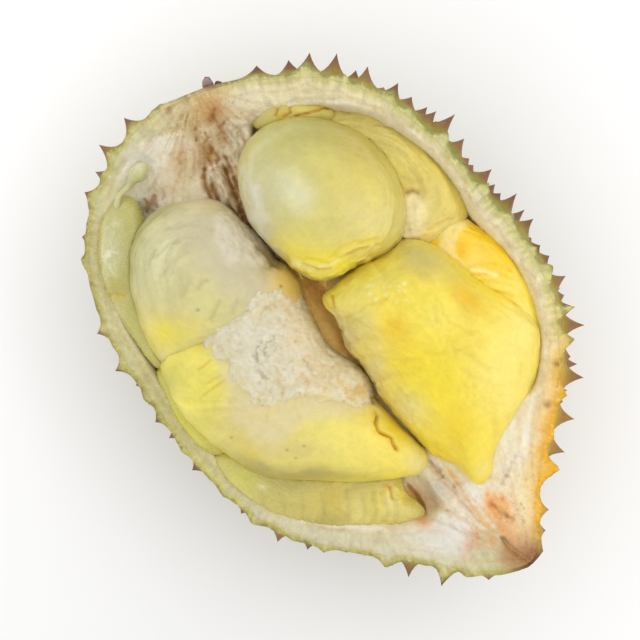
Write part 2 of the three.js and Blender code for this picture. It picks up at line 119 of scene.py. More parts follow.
def pts(x, y, z=None, scale=1.0):
    x, y = np.broadcast_arrays(np.asarray(x, float), np.asarray(y, float))
    z = np.zeros_like(x) if z is None else np.broadcast_to(np.asarray(z, float), x.shape)
    return np.stack([x, y, z], -1) / scale


def px(u, v):
    """A place in the picture plane of the opening, as design millimetres."""
    dx, dy = np.asarray(u, float) - 320, np.asarray(v, float) - 322
    return 0.48 * (0.6 * dx + 0.8 * dy), 0.48 * (0.8 * dx - 0.6 * dy)


def mesh_object(name, verts_mm, faces, row=True):
    me = bpy.data.meshes.new(name)
    v = np.asarray(verts_mm, float)
    if row:
        v = (v + SHIFT) / 1000
    faces = [f for f in faces] if isinstance(faces, list) else faces
    me.vertices.add(len(v))
    me.vertices.foreach_set("co", v.astype(np.float32).ravel())
    if isinstance(faces, np.ndarray):
        n, k = faces.shape
        me.loops.add(n * k)
        me.loops.foreach_set("vertex_index", faces.astype(np.int32).ravel())
        me.polygons.add(n)
        me.polygons.foreach_set("loop_start", (np.arange(n) * k).astype(np.int32))
        me.polygons.foreach_set("loop_total", np.full(n, k, np.int32))
    else:
        lens = np.array([len(f) for f in faces], np.int32)
        me.loops.add(int(lens.sum()))
        me.loops.foreach_set("vertex_index", np.concatenate([np.asarray(f, np.int32) for f in faces]))
        me.polygons.add(len(faces))
        me.polygons.foreach_set("loop_start", np.concatenate([[0], np.cumsum(lens)[:-1]]).astype(np.int32))
        me.polygons.foreach_set("loop_total", lens)
    me.update(calc_edges=True)
    me.validate()
    ob = bpy.data.objects.new(name, me)
    bpy.context.scene.collection.objects.link(ob)
    return ob


def coords(ob):
    co = np.empty(len(ob.data.vertices) * 3, np.float32)
    ob.data.vertices.foreach_get("co", co)
    return co.reshape(-1, 3).astype(float) * 1000 - SHIFT


def set_coords(ob, mm):
    ob.data.vertices.foreach_set("co", ((mm + SHIFT) / 1000).astype(np.float32).ravel())
    ob.data.update()


def vnormals(ob):
    n = np.empty(len(ob.data.vertices) * 3, np.float32)
    ob.data.vertex_normals.foreach_get("vector", n)
    return n.reshape(-1, 3).astype(float)


def attr(ob, name, values):
    a = ob.data.attributes.get(name) or ob.data.attributes.new(name, "FLOAT", "POINT")
    a.data.foreach_set("value", np.asarray(values, np.float32))


def colour_attr(ob, name, rgb):
    """rgb in linear light, one per vertex."""
    a = ob.data.color_attributes.get(name) or ob.data.color_attributes.new(name, "FLOAT_COLOR", "POINT")
    c = np.ones((len(rgb), 4), np.float32)
    c[:, :3] = rgb
    a.data.foreach_set("color", c.ravel())


def smooth_shade(ob):
    ob.data.polygons.foreach_set("use_smooth", np.ones(len(ob.data.polygons), bool))


def apply_modifiers(ob):
    deps = bpy.context.evaluated_depsgraph_get()
    me = bpy.data.meshes.new_from_object(ob.evaluated_get(deps))
    old = ob.data
    ob.modifiers.clear()
    ob.data = me
    bpy.data.meshes.remove(old)


def boolean(ob, other, operation):
    m = ob.modifiers.new("cut", "BOOLEAN")
    m.operation, m.object, m.solver = operation, other, "MANIFOLD"
    apply_modifiers(ob)


def drop(*obs):
    for o in obs:
        me = o.data
        bpy.data.objects.remove(o)
        bpy.data.meshes.remove(me)


def hexlin(h):
    c = np.array([int(h[i:i + 2], 16) / 255 for i in (1, 3, 5)])
    return np.where(c <= 0.04045, c / 12.92, ((c + 0.055) / 1.055) ** 2.4)


def mix(a, b, t):
    t = np.asarray(t)[..., None]
    return a * (1 - t) + b * t


# ---------------------------------------------------------------- the fruit's form
def axis_y(x):
    return lerp(-8, 11.5, np.clip((x + 129) / 283, 0, 1))


def chamber_y(x):
    return lerp(-19, 10.7, np.clip((x + 119.5) / 249.3, 0, 1))


def skin(psi, phi, inset=0.0):
    s, c, d = np.sin(psi), np.cos(phi), np.sin(phi)
    x = X_MID - (HALF_LENGTH - inset) * np.cos(psi)
    lobes = 1 + 0.022 * np.cos(4 * (phi - math.pi / 4)) * np.maximum(0, d) ** 2 * s
    w = np.where(c >= 0, table(WIDTH_POS, psi), table(WIDTH_NEG, psi)) * s
    full = np.where(c >= 0, np.interp(psi, FULL_AT, FULL_HIGH), np.interp(psi, FULL_AT, FULL_LOW))
    w = np.maximum(w + full * sstep(0.1, 0.75, np.abs(c)) * sstep(0.1, 0.5, s) - inset, 0.3 * s)
    h = np.maximum(s * table(DEPTH, psi) - inset, 0.3 * s)
    return np.stack([x, axis_y(X_MID - HALF_LENGTH * np.cos(psi)) + w * c * lobes, EQUATOR_Z - h * d * lobes * np.where(d > 0, 1, 0.8)], -1)


def skin_normal(psi, phi):
    e = 1e-3
    p = np.clip(psi, 0.02, math.pi - 0.02)
    a = skin(p + e, phi) - skin(p - e, phi)
    b = skin(p, phi + e) - skin(p, phi - e)
    n = np.cross(a, b)
    return n / np.linalg.norm(n, axis=-1, keepdims=True)


def rad(psi):
    return np.sin(psi) * (table(WIDTH_POS, psi) + table(WIDTH_NEG, psi) + table(DEPTH, psi) * 1.9) / 3.9


STEPS = 3000
PSI = np.linspace(0.012, math.pi - 0.012, STEPS + 1)
_r = rad(PSI)
_rm = (_r[1:] + _r[:-1]) / 2
_ds = np.hypot(HALF_LENGTH * (np.cos(PSI[:-1]) - np.cos(PSI[1:])), _r[1:] - _r[:-1])
AREA = np.concatenate([[0], np.cumsum(2 * math.pi * _rm * _ds)])
QQ = np.concatenate([[0], np.cumsum(_ds / _rm)])
Q_MID = QQ[-1] / 2


def to_sphere(psi, phi):
    t = 2 * np.arctan(np.exp(np.interp(psi, PSI, QQ) - Q_MID))
    return np.stack([np.cos(t), np.sin(t) * np.cos(phi), np.sin(t) * np.sin(phi)], -1)


def from_sphere(n):
    n = n / np.linalg.norm(n, axis=-1, keepdims=True)
    t = np.clip(np.arccos(np.clip(n[..., 0], -1, 1)), 1e-4, math.pi - 1e-4)
    psi = np.interp(np.log(np.tan(t / 2)) + Q_MID, QQ, PSI)
    return psi, np.arctan2(n[..., 2], n[..., 1])


def rim_z(x, y):
    wave = RIM_WAVE * (np.sin(x / 19 + 0.6) * np.cos(y / 23) + 0.6 * np.sin(x / 9.5 + y / 13))
    dip = CENTRE_DIP * np.exp(-(((x - 12) / 62) ** 4) - (((y - 2) / 42) ** 4))
    return EQUATOR_Z + RIM_SLOPE * (y - 5) + wave - dip


def rim_z_flat(x, y):
    wave = RIM_WAVE * (np.sin(x / 19 + 0.6) * np.cos(y / 23) + 0.6 * np.sin(x / 9.5 + y / 13))
    return EQUATOR_Z + RIM_SLOPE * (y - 5) + wave


# ---------------------------------------------------------------- thorns
def thorn_lattice():
    total = AREA[-1]
    count = int(round(total / (0.866 * THORN_PITCH ** 2)))
    i = np.arange(count)
    psi = np.interp(total * (i + 0.5 + 0.5 * (hash01(i, 1) - 0.5)) / count, AREA, PSI)
    jitter = (hash01(i, 2) - 0.5) * 3.4 / np.maximum(12, rad(psi))
    phi = np.mod(i * math.pi * (3 - math.sqrt(5)) + jitter, 2 * math.pi)
    spots = to_sphere(psi, phi)
    bm = bmesh.new()
    vs = [bm.verts.new(p) for p in spots]
    bm.verts.index_update()
    bm.verts.ensure_lookup_table()
    bmesh.ops.convex_hull(bm, input=vs, use_existing_faces=False)
    bmesh.ops.triangulate(bm, faces=bm.faces[:])
    tris = [[v.index for v in f.verts] for f in bm.faces]
    bm.free()
    step = [{} for _ in range(count)]
    normals = []
    for k, (a, b, c) in enumerate(tris):
        n = np.cross(spots[b] - spots[a], spots[c] - spots[a])
        n = n / max(np.linalg.norm(n), 1e-12)
        if n @ spots[a] < 0:
            n = -n
            b, c = c, b
        normals.append(n)
        for j, p, q in ((a, b, c), (b, c, a), (c, a, b)):
            step[j][p] = (k, q)
    around = []
    for m in step:
        first = p = next(iter(m))
        walk = []
        while True:
            k, p = m[p]
            walk.append(k)
            if p == first:
                break
        around.append(walk)
    return psi, phi, spots, np.array(normals), around


def thorn_profile(u):
    return 0.14 * u + 0.86 * u ** 2.7


def thorny_solid(inner_detail=4, levels=(0, 0.16, 0.34, 0.52, 0.68, 0.82, 0.93)):
    """A closed skin of thorns: each thorn stands on its own many-sided cell, and cells meet in creases."""
    psi, phi, spots, corner, around = thorn_lattice()
    count = len(psi)
    base = skin(psi, phi)
    nrm = skin_normal(psi, phi)
    i = np.arange(count)
    ends = np.minimum(0.55 * np.hypot(base[:, 0] - STEM[0], base[:, 1] - STEM[1]) - 3, 0.6 * np.hypot(base[:, 0] - TIP[0], base[:, 1] - TIP[1]) - 2)
    low = 1 - 0.42 * np.clip((-base[:, 1] - 20) / 50, 0, 1) * np.clip((base[:, 2] - 38) / 30, 0, 1)
    h = THORN_HEIGHT * lerp(0.78, 1.2, hash01(i, 3)) * np.clip(ends / 26, 0.12, 1) * low
    side = sstep(0.1, 0.75, np.cos(phi)) * sstep(0.1, 0.5, np.sin(psi))
    tall = np.where(hash01(i, 8) < 0.46, 0.34 + 0.3 * hash01(i, 13), 0.92 + 0.38 * hash01(i, 14))
    h = h * (1 - 0.14 * side) * lerp(1.0, tall, sstep(48, 70, base[:, 2]))
    lean = np.stack([hash01(i, 4) - 0.5, hash01(i, 5) - 0.5, hash01(i, 6) - 0.5], -1) * 0.32
    d = nrm + lean
    d /= np.linalg.norm(d, axis=-1, keepdims=True)
    tipv = d * h[:, None]
    verts, faces = [], []
    ucol, rnd, ang = [], [], []
    edge_points, corner_index = {}, {}

    def add(p, u, r, a):
        verts.append(p)
        ucol.append(u)
        rnd.append(r)
        ang.append(a)
        return len(verts) - 1

    corner_pos = skin(*from_sphere(corner))
    keep = []
    for t in range(count):
        c = spots[t]
        ks = around[t]
        ring, dirs = [], []
        for j, k in enumerate(ks):
            k2 = ks[(j + 1) % len(ks)]
            if k not in corner_index:
                corner_index[k] = add(corner_pos[k], 0, 0, 0)
            ring.append(corner_index[k])
            dirs.append(corner[k])
            key = (min(k, k2), max(k, k2))
            if key not in edge_points:
                a, b = corner[key[0]], corner[key[1]]
                ids, ds = [], []
                for m in range(1, inner_detail):
                    n = lerp(a, b, m / inner_detail)
                    n /= np.linalg.norm(n)
                    p = skin(*from_sphere(n))
                    ids.append(add(p, 0, 0, 0))
                    ds.append(n)
                edge_points[key] = (ids, ds)
            ids, ds = edge_points[key]
            if k != key[0]:
                ids, ds = ids[::-1], ds[::-1]
            ring += ids
            dirs += ds
        dirs = np.array(dirs)
        keep.append((t, ring))
        dist = np.linalg.norm(dirs - c, axis=1)
        mean = dist.mean()
        prev = ring
        n = len(ring)
        swirl = (hash01(t, 9) - 0.5) * 0.25
        for u in levels[1:]:
            s = 1 - u
            k_round = 0.75 * u
            f = s * ((1 - k_round) + k_round * mean / dist)
            nn = c + (dirs - c) * f[:, None]
            p = skin(*from_sphere(nn)) + tipv[t] * thorn_profile(u)
            # fine ribs running up the thorn
            a = np.arange(n) / n * 2 * math.pi
            out = p - (base[t] + tipv[t] * thorn_profile(u))
            rib = 1 + 0.05 * np.sin(a * 3 + hash01(t, 11) * 6) * s + 0.045 * np.sin(a * 7 + hash01(t, 12) * 6)
            p = p + out * (rib - 1)[:, None]
            start = len(verts)
            for q, aa in zip(p, a):
                add(q, u, hash01(t, 7), aa / (2 * math.pi))
            cur = list(range(start, start + n))
            for j in range(n):
                faces.append((prev[j], prev[(j + 1) % n], cur[(j + 1) % n]))
                faces.append((prev[j], cur[(j + 1) % n], cur[j]))
            prev = cur
        top = add(base[t] + tipv[t], 1, hash01(t, 7), 0)
        for j in range(n):
            faces.append((prev[j], prev[(j + 1) % n], top))
    verts = np.array(verts)
    faces = np.array(faces)
    v = verts[faces]
    if np.einsum("ij,ij->i", v[:, 0], np.cross(v[:, 1], v[:, 2])).sum() < 0:
        faces = faces[:, ::-1].copy()
    return verts, faces, np.array(ucol), np.array(rnd), (base, tipv, spots)


# ---------------------------------------------------------------- the opening and the chambers
def polyline_distance(x, y, line):
    """Distance to a polyline, the share of its length at the nearest point, and the side."""
    line = np.asarray(line, float)
    a, b = line[:-1], line[1:]
    seg = b - a
    ln = np.linalg.norm(seg, axis=1)
    cum = np.concatenate([[0], np.cumsum(ln)])
    best = np.full(np.shape(x), 1e9)
    share = np.zeros(np.shape(x))
    side = np.zeros(np.shape(x))
    for k in range(len(a)):
        wx, wy = x - a[k, 0], y - a[k, 1]
        t = np.clip((wx * seg[k, 0] + wy * seg[k, 1]) / max(ln[k] ** 2, 1e-9), 0, 1)
        dx, dy = wx - t * seg[k, 0], wy - t * seg[k, 1]
        dd = np.hypot(dx, dy)
        m = dd < best
        best = np.where(m, dd, best)
        share = np.where(m, (cum[k] + t * ln[k]) / cum[-1], share)
        side = np.where(m, seg[k, 0] * wy - seg[k, 1] * wx, side)
    return best, share, np.sign(side)


def outline_curve(n=900):
    """The chambers' edge in plan."""
    psi = np.linspace(0, math.pi, n)
    s = np.sin(psi)
    xm, a = (IN_X[0] + IN_X[1]) / 2, (IN_X[1] - IN_X[0]) / 2
    x = xm - a * np.cos(psi)
    up = np.stack([x, chamber_y(x) + s * table(IN_POS, psi)], -1)
    dn = np.stack([x, chamber_y(x) - s * table(IN_NEG, psi)], -1)
    loop = np.concatenate([up, dn[::-1]])
    d = np.concatenate([[0], np.cumsum(np.linalg.norm(np.diff(loop, axis=0), axis=1))])
    q = np.arange(0, d[-1], 1.0)
    return np.stack([np.interp(q, d, loop[:, 0]), np.interp(q, d, loop[:, 1])], -1)


def near_distance(x, y, loop, chunk=4000):
    p = np.stack([np.ravel(x), np.ravel(y)], -1)
    out = np.empty(len(p))
    q2 = (loop ** 2).sum(1)
    for k in range(0, len(p), chunk):
        b = p[k:k + chunk]
        out[k:k + chunk] = np.sqrt(np.maximum(0, (b ** 2).sum(1)[:, None] + q2 - 2 * b @ loop.T).min(1))
    return out.reshape(np.shape(x))


INNER_LOOP = outline_curve()


def chamber(x, y):
    """Signed distance inside the chambers' edge, and the floor level of the ideal chamber."""
    xm, a = (IN_X[0] + IN_X[1]) / 2, (IN_X[1] - IN_X[0]) / 2
    c = np.clip((xm - x) / a, -1, 1)
    psi = np.arccos(c)
    s = np.sin(psi)
    yi = chamber_y(x)
    w = np.maximum(s * np.where(y >= yi, table(IN_POS, psi), table(IN_NEG, psi)), 1e-3)
    t = np.clip(np.abs((y - yi) / w), 0, 1)
    inside = (np.abs((y - yi) / w) < 1) & (np.abs(xm - x) < a)
    d = near_distance(x, y, INNER_LOOP) * np.where(inside, 1, -1)
    return d, EQUATOR_Z - s * table(IN_DEPTH, psi) * np.sqrt(np.maximum(0, 1 - t * t))


def septum_field(x, y):
    """Plan distance outside the septum's edge (negative on it)."""
    d, share, side = polyline_distance(x, y, SEPTUM[:, :2])
    ln = np.concatenate([[0], np.cumsum(np.linalg.norm(np.diff(SEPTUM[:, :2], axis=0), axis=1))])
    half = np.interp(share * ln[-1], ln, SEPTUM[:, 2])
    return d - half, share, side


def lines(*places):
    return np.stack(px(*np.array(places, float).T), -1)


GROOVES = [  # torn folds: places in the opening's plane, width and depth in mm, and how brown
    (lines((219, 156), (225, 170), (231, 186), (238, 204), (246, 222), (258, 240), (276, 262), (292, 280)), 1.5, 4.6, 1.0),
    (lines((222, 150), (230, 166), (237, 184), (243, 204)), 0.9, 2.6, 0.8),
    (lines((226, 196), (233, 212), (242, 228), (254, 244)), 0.9, 2.8, 0.9),
    (lines((205, 160), (203, 172), (205, 186), (211, 199), (217, 206)), 1.0, 2.6, 0.9),
    (lines((210, 174), (212, 188), (218, 200), (220, 208)), 0.7, 2.0, 0.8),
    (lines((207, 142), (212, 149), (208, 157), (213, 167)), 1.0, 1.8, 0.8),
    (lines((214, 150), (218, 158), (216, 166)), 0.7, 1.4, 0.7),
    (lines((216, 108), (213, 116), (208, 122)), 1.0, 0.9, 0.6),
    (lines((226, 120), (221, 128), (225, 135)), 0.9, 1.0, 0.6),
    (lines((198, 124), (194, 132), (197, 142)), 0.8, 0.8, 0.5),
    (lines((204, 132), (208, 138), (204, 144)), 0.7, 0.9, 0.6),
    (lines((180, 150), (178, 158), (182, 165)), 0.7, 0.7, 0.3),
    (lines((236, 124), (243, 133), (245, 143)), 0.8, 1.0, 0.3),
    (lines((240, 112), (247, 119), (252, 128)), 0.7, 0.9, 0.25),
    (lines((154, 192), (151, 200), (156, 207)), 0.9, 1.3, 0.5),
    (lines((142, 196), (146, 204), (143, 212)), 0.8, 1.3, 0.5),
    (lines((160, 186), (163, 194), (160, 200)), 0.6, 0.9, 0.3),
    (lines((516, 452), (508, 470), (500, 488)), 0.8, 1.0, 0.15),
    (lines((488, 500), (500, 512), (516, 520)), 0.9, 1.0, 0.4),
    (lines((430, 520), (450, 526), (470, 538)), 0.8, 0.9, 0.15),
    (lines((408, 486), (416, 496), (424, 508), (428, 520)), 1.0, 1.6, 0.8),
    (lines((402, 492), (412, 506), (418, 520)), 0.8, 1.4, 0.7),
    (lines((498, 535), (507, 546), (518, 557), (534, 566)), 0.9, 1.6, 0.7),
    (lines((455, 478), (466, 497), (478, 514), (492, 528)), 0.9, 1.1, 0.08),
    (lines((440, 470), (452, 484), (462, 500), (474, 514)), 0.8, 0.9, 0.08),
    (lines((428, 460), (437, 468), (446, 480)), 1.0, 1.6, 0.4),
]
RIDGES = [
    (lines((214, 158), (217, 172), (223, 190), (232, 208), (243, 226), (256, 244)), 1.2, 2.4),
    (lines((207, 148), (209, 165), (214, 182)), 1.5, 1.6),
    (lines((225, 152), (236, 172), (246, 195)), 1.2, 1.6),
    (lines((216, 168), (221, 184), (229, 201), (240, 218)), 0.8, 1.8),
    (lines((232, 190), (238, 206), (248, 222)), 0.7, 1.6),
    (lines((208, 150), (212, 160), (210, 172)), 0.7, 1.4),
    (lines((404, 480), (414, 488), (424, 500), (432, 514)), 0.8, 1.2),
    (lines((448, 470), (460, 488), (472, 506), (490, 526)), 1.6, 1.3),
    (lines((470, 478), (480, 492), (486, 506)), 3.0, 1.6),
]


STEM_PITH = [(80, 215), (90, 170), (120, 120), (160, 90), (200, 72), (238, 70), (252, 84), (252, 100), (250, 114), (256, 130), (260, 146), (266, 164), (262, 200), (262, 240), (240, 240),
             (215, 226), (190, 222), (165, 232), (150, 238), (134, 236), (120, 214), (106, 222), (95, 236)]
TIP_PITH = [(468, 420), (500, 398), (545, 378), (568, 420), (564, 480), (554, 540), (546, 578), (505, 588), (460, 572), (395, 558), (384, 528), (400, 515), (404, 490),
            (404, 470), (414, 450), (440, 440), (470, 470)]
CENTRE_GAP = [(280, 256), (300, 262), (334, 280), (348, 300), (356, 330), (378, 360), (390, 396), (384, 420), (366, 410), (346, 380), (322, 344), (298, 312), (286, 292)]


def in_plan(x, y):
    """Places of the opening's layout for plan points at the rim's own height."""
    return 320 + (0.6 * x + 0.8 * y) / 0.48, 322 + (0.8 * x - 0.6 * y) / 0.48


def radial(x, y, origin):
    return np.hypot(x - origin[0], y - origin[1]), np.arctan2(y - origin[1], x - origin[0])


def pith_level(x, y, detail=True):
    """Height of the husk's cut rim, chambers and septum over a place in plan."""
    rim = rim_z_flat(x, y)
    d, floor = chamber(x, y)
    if detail:
        wob = 1.1 * fbm(pts(x, y, scale=9.0), 3, 2) + 0.5 * fbm(pts(x, y, scale=3.0), 2, 5)
    else:
        wob = 0
    dd = d + wob * sstep(-3, 3, d)
    end_stem = sstep(-86, -112, x)
    end_tip = sstep(88, 112, x)
    soft = 5.5 + 5 * end_stem * sstep(-58, -32, y) * sstep(45, 25, y) + 7 * end_tip  # the wall leans more at the two ends
    U, V = in_plan(x, y)
    near_end = np.clip(area_of(U, V, STEM_PITH, 9) + area_of(U, V, TIP_PITH, 9), 0, 1)
    shallow = 3.0 + 0.17 * np.maximum(0, d) + 4.0 * blob(U, V, 142, 212, 13, 12) + 13 * area_of(U, V, [(392, 474), (424, 476), (438, 490), (440, 508), (430, 526), (408, 542), (384, 540), (384, 520)], 5)
    floor = lerp(floor, rim - shallow, near_end)
    b = sstep(-0.5, soft, dd)
    shoulder = -1.2 * sstep(-3.5, 1.0, d)
    z = rim + shoulder - (rim + shoulder - np.minimum(floor, rim - 2)) * b
    n, share, side = septum_field(x, y)
    if detail:
        n = n + 0.9 * fbm(pts(x, y, scale=6.0), 3, 9)
    dip = 0.45 * CENTRE_DIP * np.exp(-(((x - 12) / 62) ** 4))
    low = 2.0 * sstep(-118, -96, x) * sstep(40, -90, x) + 4.5 * sstep(60, 80, x) * sstep(125, 95, x)
    crest = rim - dip - low - 1.0
    open_gap = area_of(U, V, CENTRE_GAP, 10)
    zs = crest - lerp(2.6, 0.9, open_gap) * np.maximum(0, n) - 0.03 * np.maximum(0, n) ** 2
    z = np.maximum(z, zs)
    plug = area_of(U, V, [(312, 266), (340, 262), (370, 250), (398, 238), (406, 246), (378, 262), (348, 286), (334, 298), (318, 286)], 4)
    z = np.maximum(z, rim - dip - 1.5 - 14 * (1 - plug))
    if not detail:
        return z
    sr, sa = radial(x, y, STEM)
    tr, ta = radial(x, y, TIP)
    inner = sstep(-7, -1, d)
    stem_w = np.exp(-(np.maximum(0, sr - 8) / 42) ** 2) * sstep(-9, -3, d + 6 * np.exp(-(sr / 16) ** 2))
    tip_w = np.exp(-(np.maximum(0, tr - 4) / 46) ** 2) * sstep(-9, -4, d + 6 * np.exp(-(tr / 16) ** 2))
    # fibres that run from the two ends towards the pods
    f1 = fbm(np.stack([sa * 15, sr / 13, sr * 0], -1), 4, 21)
    f2 = fbm(np.stack([sa * 42, sr / 9, sr * 0], -1), 3, 22)
    z = z + stem_w * (1.5 * (1 - 2 * np.abs(f1)) * sstep(0, 26, sr) + 0.5 * f2 - 0.4)
    g1 = fbm(np.stack([ta * 16, tr / 16, tr * 0], -1), 4, 23)
    g2 = fbm(np.stack([ta * 46, tr / 10, tr * 0], -1), 3, 24)
    z = z + tip_w * (0.9 * (1 - 2 * np.abs(g1)) * sstep(0, 30, tr) + 0.4 * g2 - 0.3)
    # lumps of torn pith
    lump = fbm(pts(x, y, scale=2.6), 4, 31)
    z = z + inner * (0.45 * lump + 0.5 * np.abs(fbm(pts(x, y, scale=5.2), 3, 33)))
    rough = np.exp(-((x - px(213, 178)[0]) ** 2 + (y - px(213, 178)[1]) ** 2) / 14.0 ** 2)
    z = z + rough * (1.6 * fbm(pts(x, y, scale=3.4), 4, 41))
    crumb = np.clip(blob(U, V, 205, 125, 34, 40) + blob(U, V, 240, 130, 18, 26) + 0.9 * blob(U, V, 150, 190, 20, 26) + 0.7 * blob(U, V, 445, 500, 30, 24)
                    + 0.6 * blob(U, V, 510, 520, 34, 40), 0, 1) * sstep(-4, 2, d)
    z = z + crumb * (1.2 * (1 - 2 * np.abs(fbm(pts(x, y, scale=2.6), 3, 43))) + 1.1 * fbm(pts(x, y, scale=1.6), 2, 45))
    for line, width, depth, _ in GROOVES:
        z = z - depth * groove(x, y, line, width)
    for line, width, height in RIDGES:
        z = z + height * groove(x, y, line, width * 1.2, 57)
    # torn fibres that run down beside the fold between the two upper pods
    run = 0.42 * (U - 220) + 0.91 * (V - 180)
    across_ = 0.91 * (U - 220) - 0.42 * (V - 180)
    torn = np.clip(blob(U, V, 222, 176, 15, 44, -24) + 0.8 * blob(U, V, 246, 226, 9, 34, -30), 0, 1)
    z = z + torn * 1.5 * (1 - 2 * np.abs(fbm(np.stack([across_ / 3.0, run / 17, run * 0], -1), 3, 47)))
    # the cut rim: fibres across its thickness
    z = z - 0.5 * np.exp(-((d + 2.2 + 0.8 * vnoise(pts(x, y, scale=6), 65)) / 0.7) ** 2) * sstep(-20, 30, y)
    ca = np.arctan2(y, x - 10.0)
    z = z + (1 - inner) * 0.5 * fbm(np.stack([ca * 48, d / 6, d * 0], -1), 2, 67)
    z = z + (1 - inner) * (0.28 * fbm(pts(x, y, scale=1.7), 3, 61) + 0.35 * fbm(pts(x, y, scale=7.0), 2, 63))
    return z


def groove(x, y, line, width, seed=51):
    """1 along a torn fold, thin at its ends and uneven along its sides."""
    q, sh, _ = polyline_distance(x, y, line)
    w = width * (0.25 + 0.75 * np.sin(math.pi * np.clip(sh, 0.02, 0.98)) ** 0.6) * (1 + 0.35 * vnoise(pts(x, y, scale=3.5), seed + 2))
    q = np.abs(q + 0.55 * vnoise(pts(x, y, scale=2.0), seed))
    return np.exp(-(q / w) ** 2) * sstep(0.0, 0.10, sh) * sstep(1.0, 0.90, sh)


def block(x0, x1, y0, y1, step, detail, top=None, lower=0.0):
    """The space below the opening, as a closed solid over a fine grid."""
    nx, ny = int((x1 - x0) / step), int((y1 - y0) / step)
    X, Y = np.meshgrid(np.linspace(x0, x1, nx + 1), np.linspace(y0, y1, ny + 1), indexing="ij")
    Z = pith_level(X, Y, detail) - lower
    topv = np.stack([X.ravel(), Y.ravel(), Z.ravel()], -1)
    m = (nx + 1) * (ny + 1)
    idx = np.arange(m).reshape(nx + 1, ny + 1)
    a, b, c, d = idx[:-1, :-1], idx[1:, :-1], idx[1:, 1:], idx[:-1, 1:]
    quads = np.stack([a, b, c, d], -1).reshape(-1, 4)
    # split each quad along its flatter diagonal
    z = Z.ravel()
    flat = np.abs(z[quads[:, 0]] - z[quads[:, 2]]) <= np.abs(z[quads[:, 1]] - z[quads[:, 3]])
    t1 = np.where(flat[:, None], quads[:, [0, 1, 2]], quads[:, [0, 1, 3]])
    t2 = np.where(flat[:, None], quads[:, [0, 2, 3]], quads[:, [1, 2, 3]])
    tris = [tuple(t) for t in np.concatenate([t1, t2])]
    ring = list(idx[:, 0]) + list(idx[-1, 1:]) + list(idx[::-1, -1][1:]) + list(idx[0, ::-1][1:-1])
    base = m
    low = topv[ring].copy()
    low[:, 2] = -40
    verts = np.concatenate([topv, low, [[(x0 + x1) / 2, (y0 + y1) / 2, -40]]])
    n = len(ring)
    for k in range(n):
        k2 = (k + 1) % n
        tris.append((ring[k2], ring[k], base + k))
        tris.append((ring[k2], base + k, base + k2))
        tris.append((base + k2, base + k, base + n))
    return verts, np.array(tris)


def ellipsoid_skin(inset, across=96, along=110):
    """The fruit's smooth inner skin, a little inside the creases between the thorns."""
    psi = np.linspace(0, math.pi, along + 1)[1:-1]
    phi = np.linspace(0, 2 * math.pi, across, endpoint=False)
    P, F = np.meshgrid(psi, phi, indexing="ij")
    v = skin(P, F, inset).reshape(-1, 3)
    a = skin(np.array([1e-4]), np.array([0.0]), inset)
    b = skin(np.array([math.pi - 1e-4]), np.array([0.0]), inset)
    verts = np.concatenate([v, a, b])
    n, m = across, len(psi)
    tris = []
    for k in range(m - 1):
        for j in range(n):
            j2 = (j + 1) % n
            p, q, r, s = k * n + j, k * n + j2, (k + 1) * n + j, (k + 1) * n + j2
            tris += [(p, r, q), (q, r, s)]
    for j in range(n):
        j2 = (j + 1) % n
        tris.append((len(v), j, j2))
        tris.append((len(v) + 1, (m - 1) * n + j2, (m - 1) * n + j))
    tris = np.array(tris)
    t = verts[tris]
    if np.einsum("ij,ij->i", t[:, 0] - [0, 0, 80], np.cross(t[:, 1] - [0, 0, 80], t[:, 2] - [0, 0, 80])).sum() < 0:
        tris = tris[:, ::-1].copy()
    return verts, tris


# ---------------------------------------------------------------- the husk's two pieces
def inverse_skin(x, y, z):
    """Nearest skin parameters of a place near the skin."""
    psi = np.arccos(np.clip((X_MID - x) / (HALF_LENGTH + 4), -0.9995, 0.9995))
    s = np.sin(psi)
    ay = axis_y(X_MID - HALF_LENGTH * np.cos(psi))
    dy, dz = y - ay, EQUATOR_Z - z
    w = np.where(dy >= 0, table(WIDTH_POS, psi), table(WIDTH_NEG, psi)) * s
    h = table(DEPTH, psi) * s
    phi = np.arctan2(dz / np.maximum(h, 1e-3), dy / np.maximum(w, 1e-3))
    return psi, phi


def make_husk():
    bv, bf = block(-150, 175, -126, 132, 0.76, True)
    top = mesh_object("top", bv, bf)
    ev, ef = ellipsoid_skin(1.3)
    pith = mesh_object("husk_pith", ev, ef)
    boolean(pith, top, "INTERSECT")
    tv, tf, ucol, rnd, _ = thorny_solid()
    rind = mesh_object("husk_rind", tv, tf)
    attr(rind, "u", ucol)
    attr(rind, "rnd", rnd)
    boolean(rind, top, "INTERSECT")
    inner = mesh_object("inner", ev, ef)
    boolean(rind, inner, "DIFFERENCE")
    gx, gy = [-170, 200], [-150, 160]
    gv = np.array([[gx[a], gy[b], zz] for zz in (-60.0, FOOT) for a, b in ((0, 0), (1, 0), (1, 1), (0, 1))])
    gf = [(3, 2, 1, 0), (4, 5, 6, 7), (0, 1, 5, 4), (1, 2, 6, 5), (2, 3, 7, 6), (3, 0, 4, 7)]
    ground = mesh_object("ground", gv, gf)
    boolean(rind, ground, "DIFFERENCE")
    drop(top, inner, ground)
    return rind, pith


# ---------------------------------------------------------------- painting and carving by place in the opening
EYE = 1000.0  # the opening is laid out as seen from this far above it


def places(p):
    """Where points of the opening lie in its layout, seen from straight above."""
    k = EYE / (EYE - (p[:, 2] - EQUATOR_Z))
    x, y = p[:, 0] * k, p[:, 1] * k
    return 320 + (0.6 * x + 0.8 * y) / 0.48, 322 + (0.8 * x - 0.6 * y) / 0.48


def blob(U, V, u, v, ru, rv=None, turn=0.0):
    rv = ru if rv is None else rv
    c, s = math.cos(math.radians(turn)), math.sin(math.radians(turn))
    x, y = U - u, V - v
    return np.exp(-(((x * c + y * s) / ru) ** 2 + ((-x * s + y * c) / rv) ** 2))


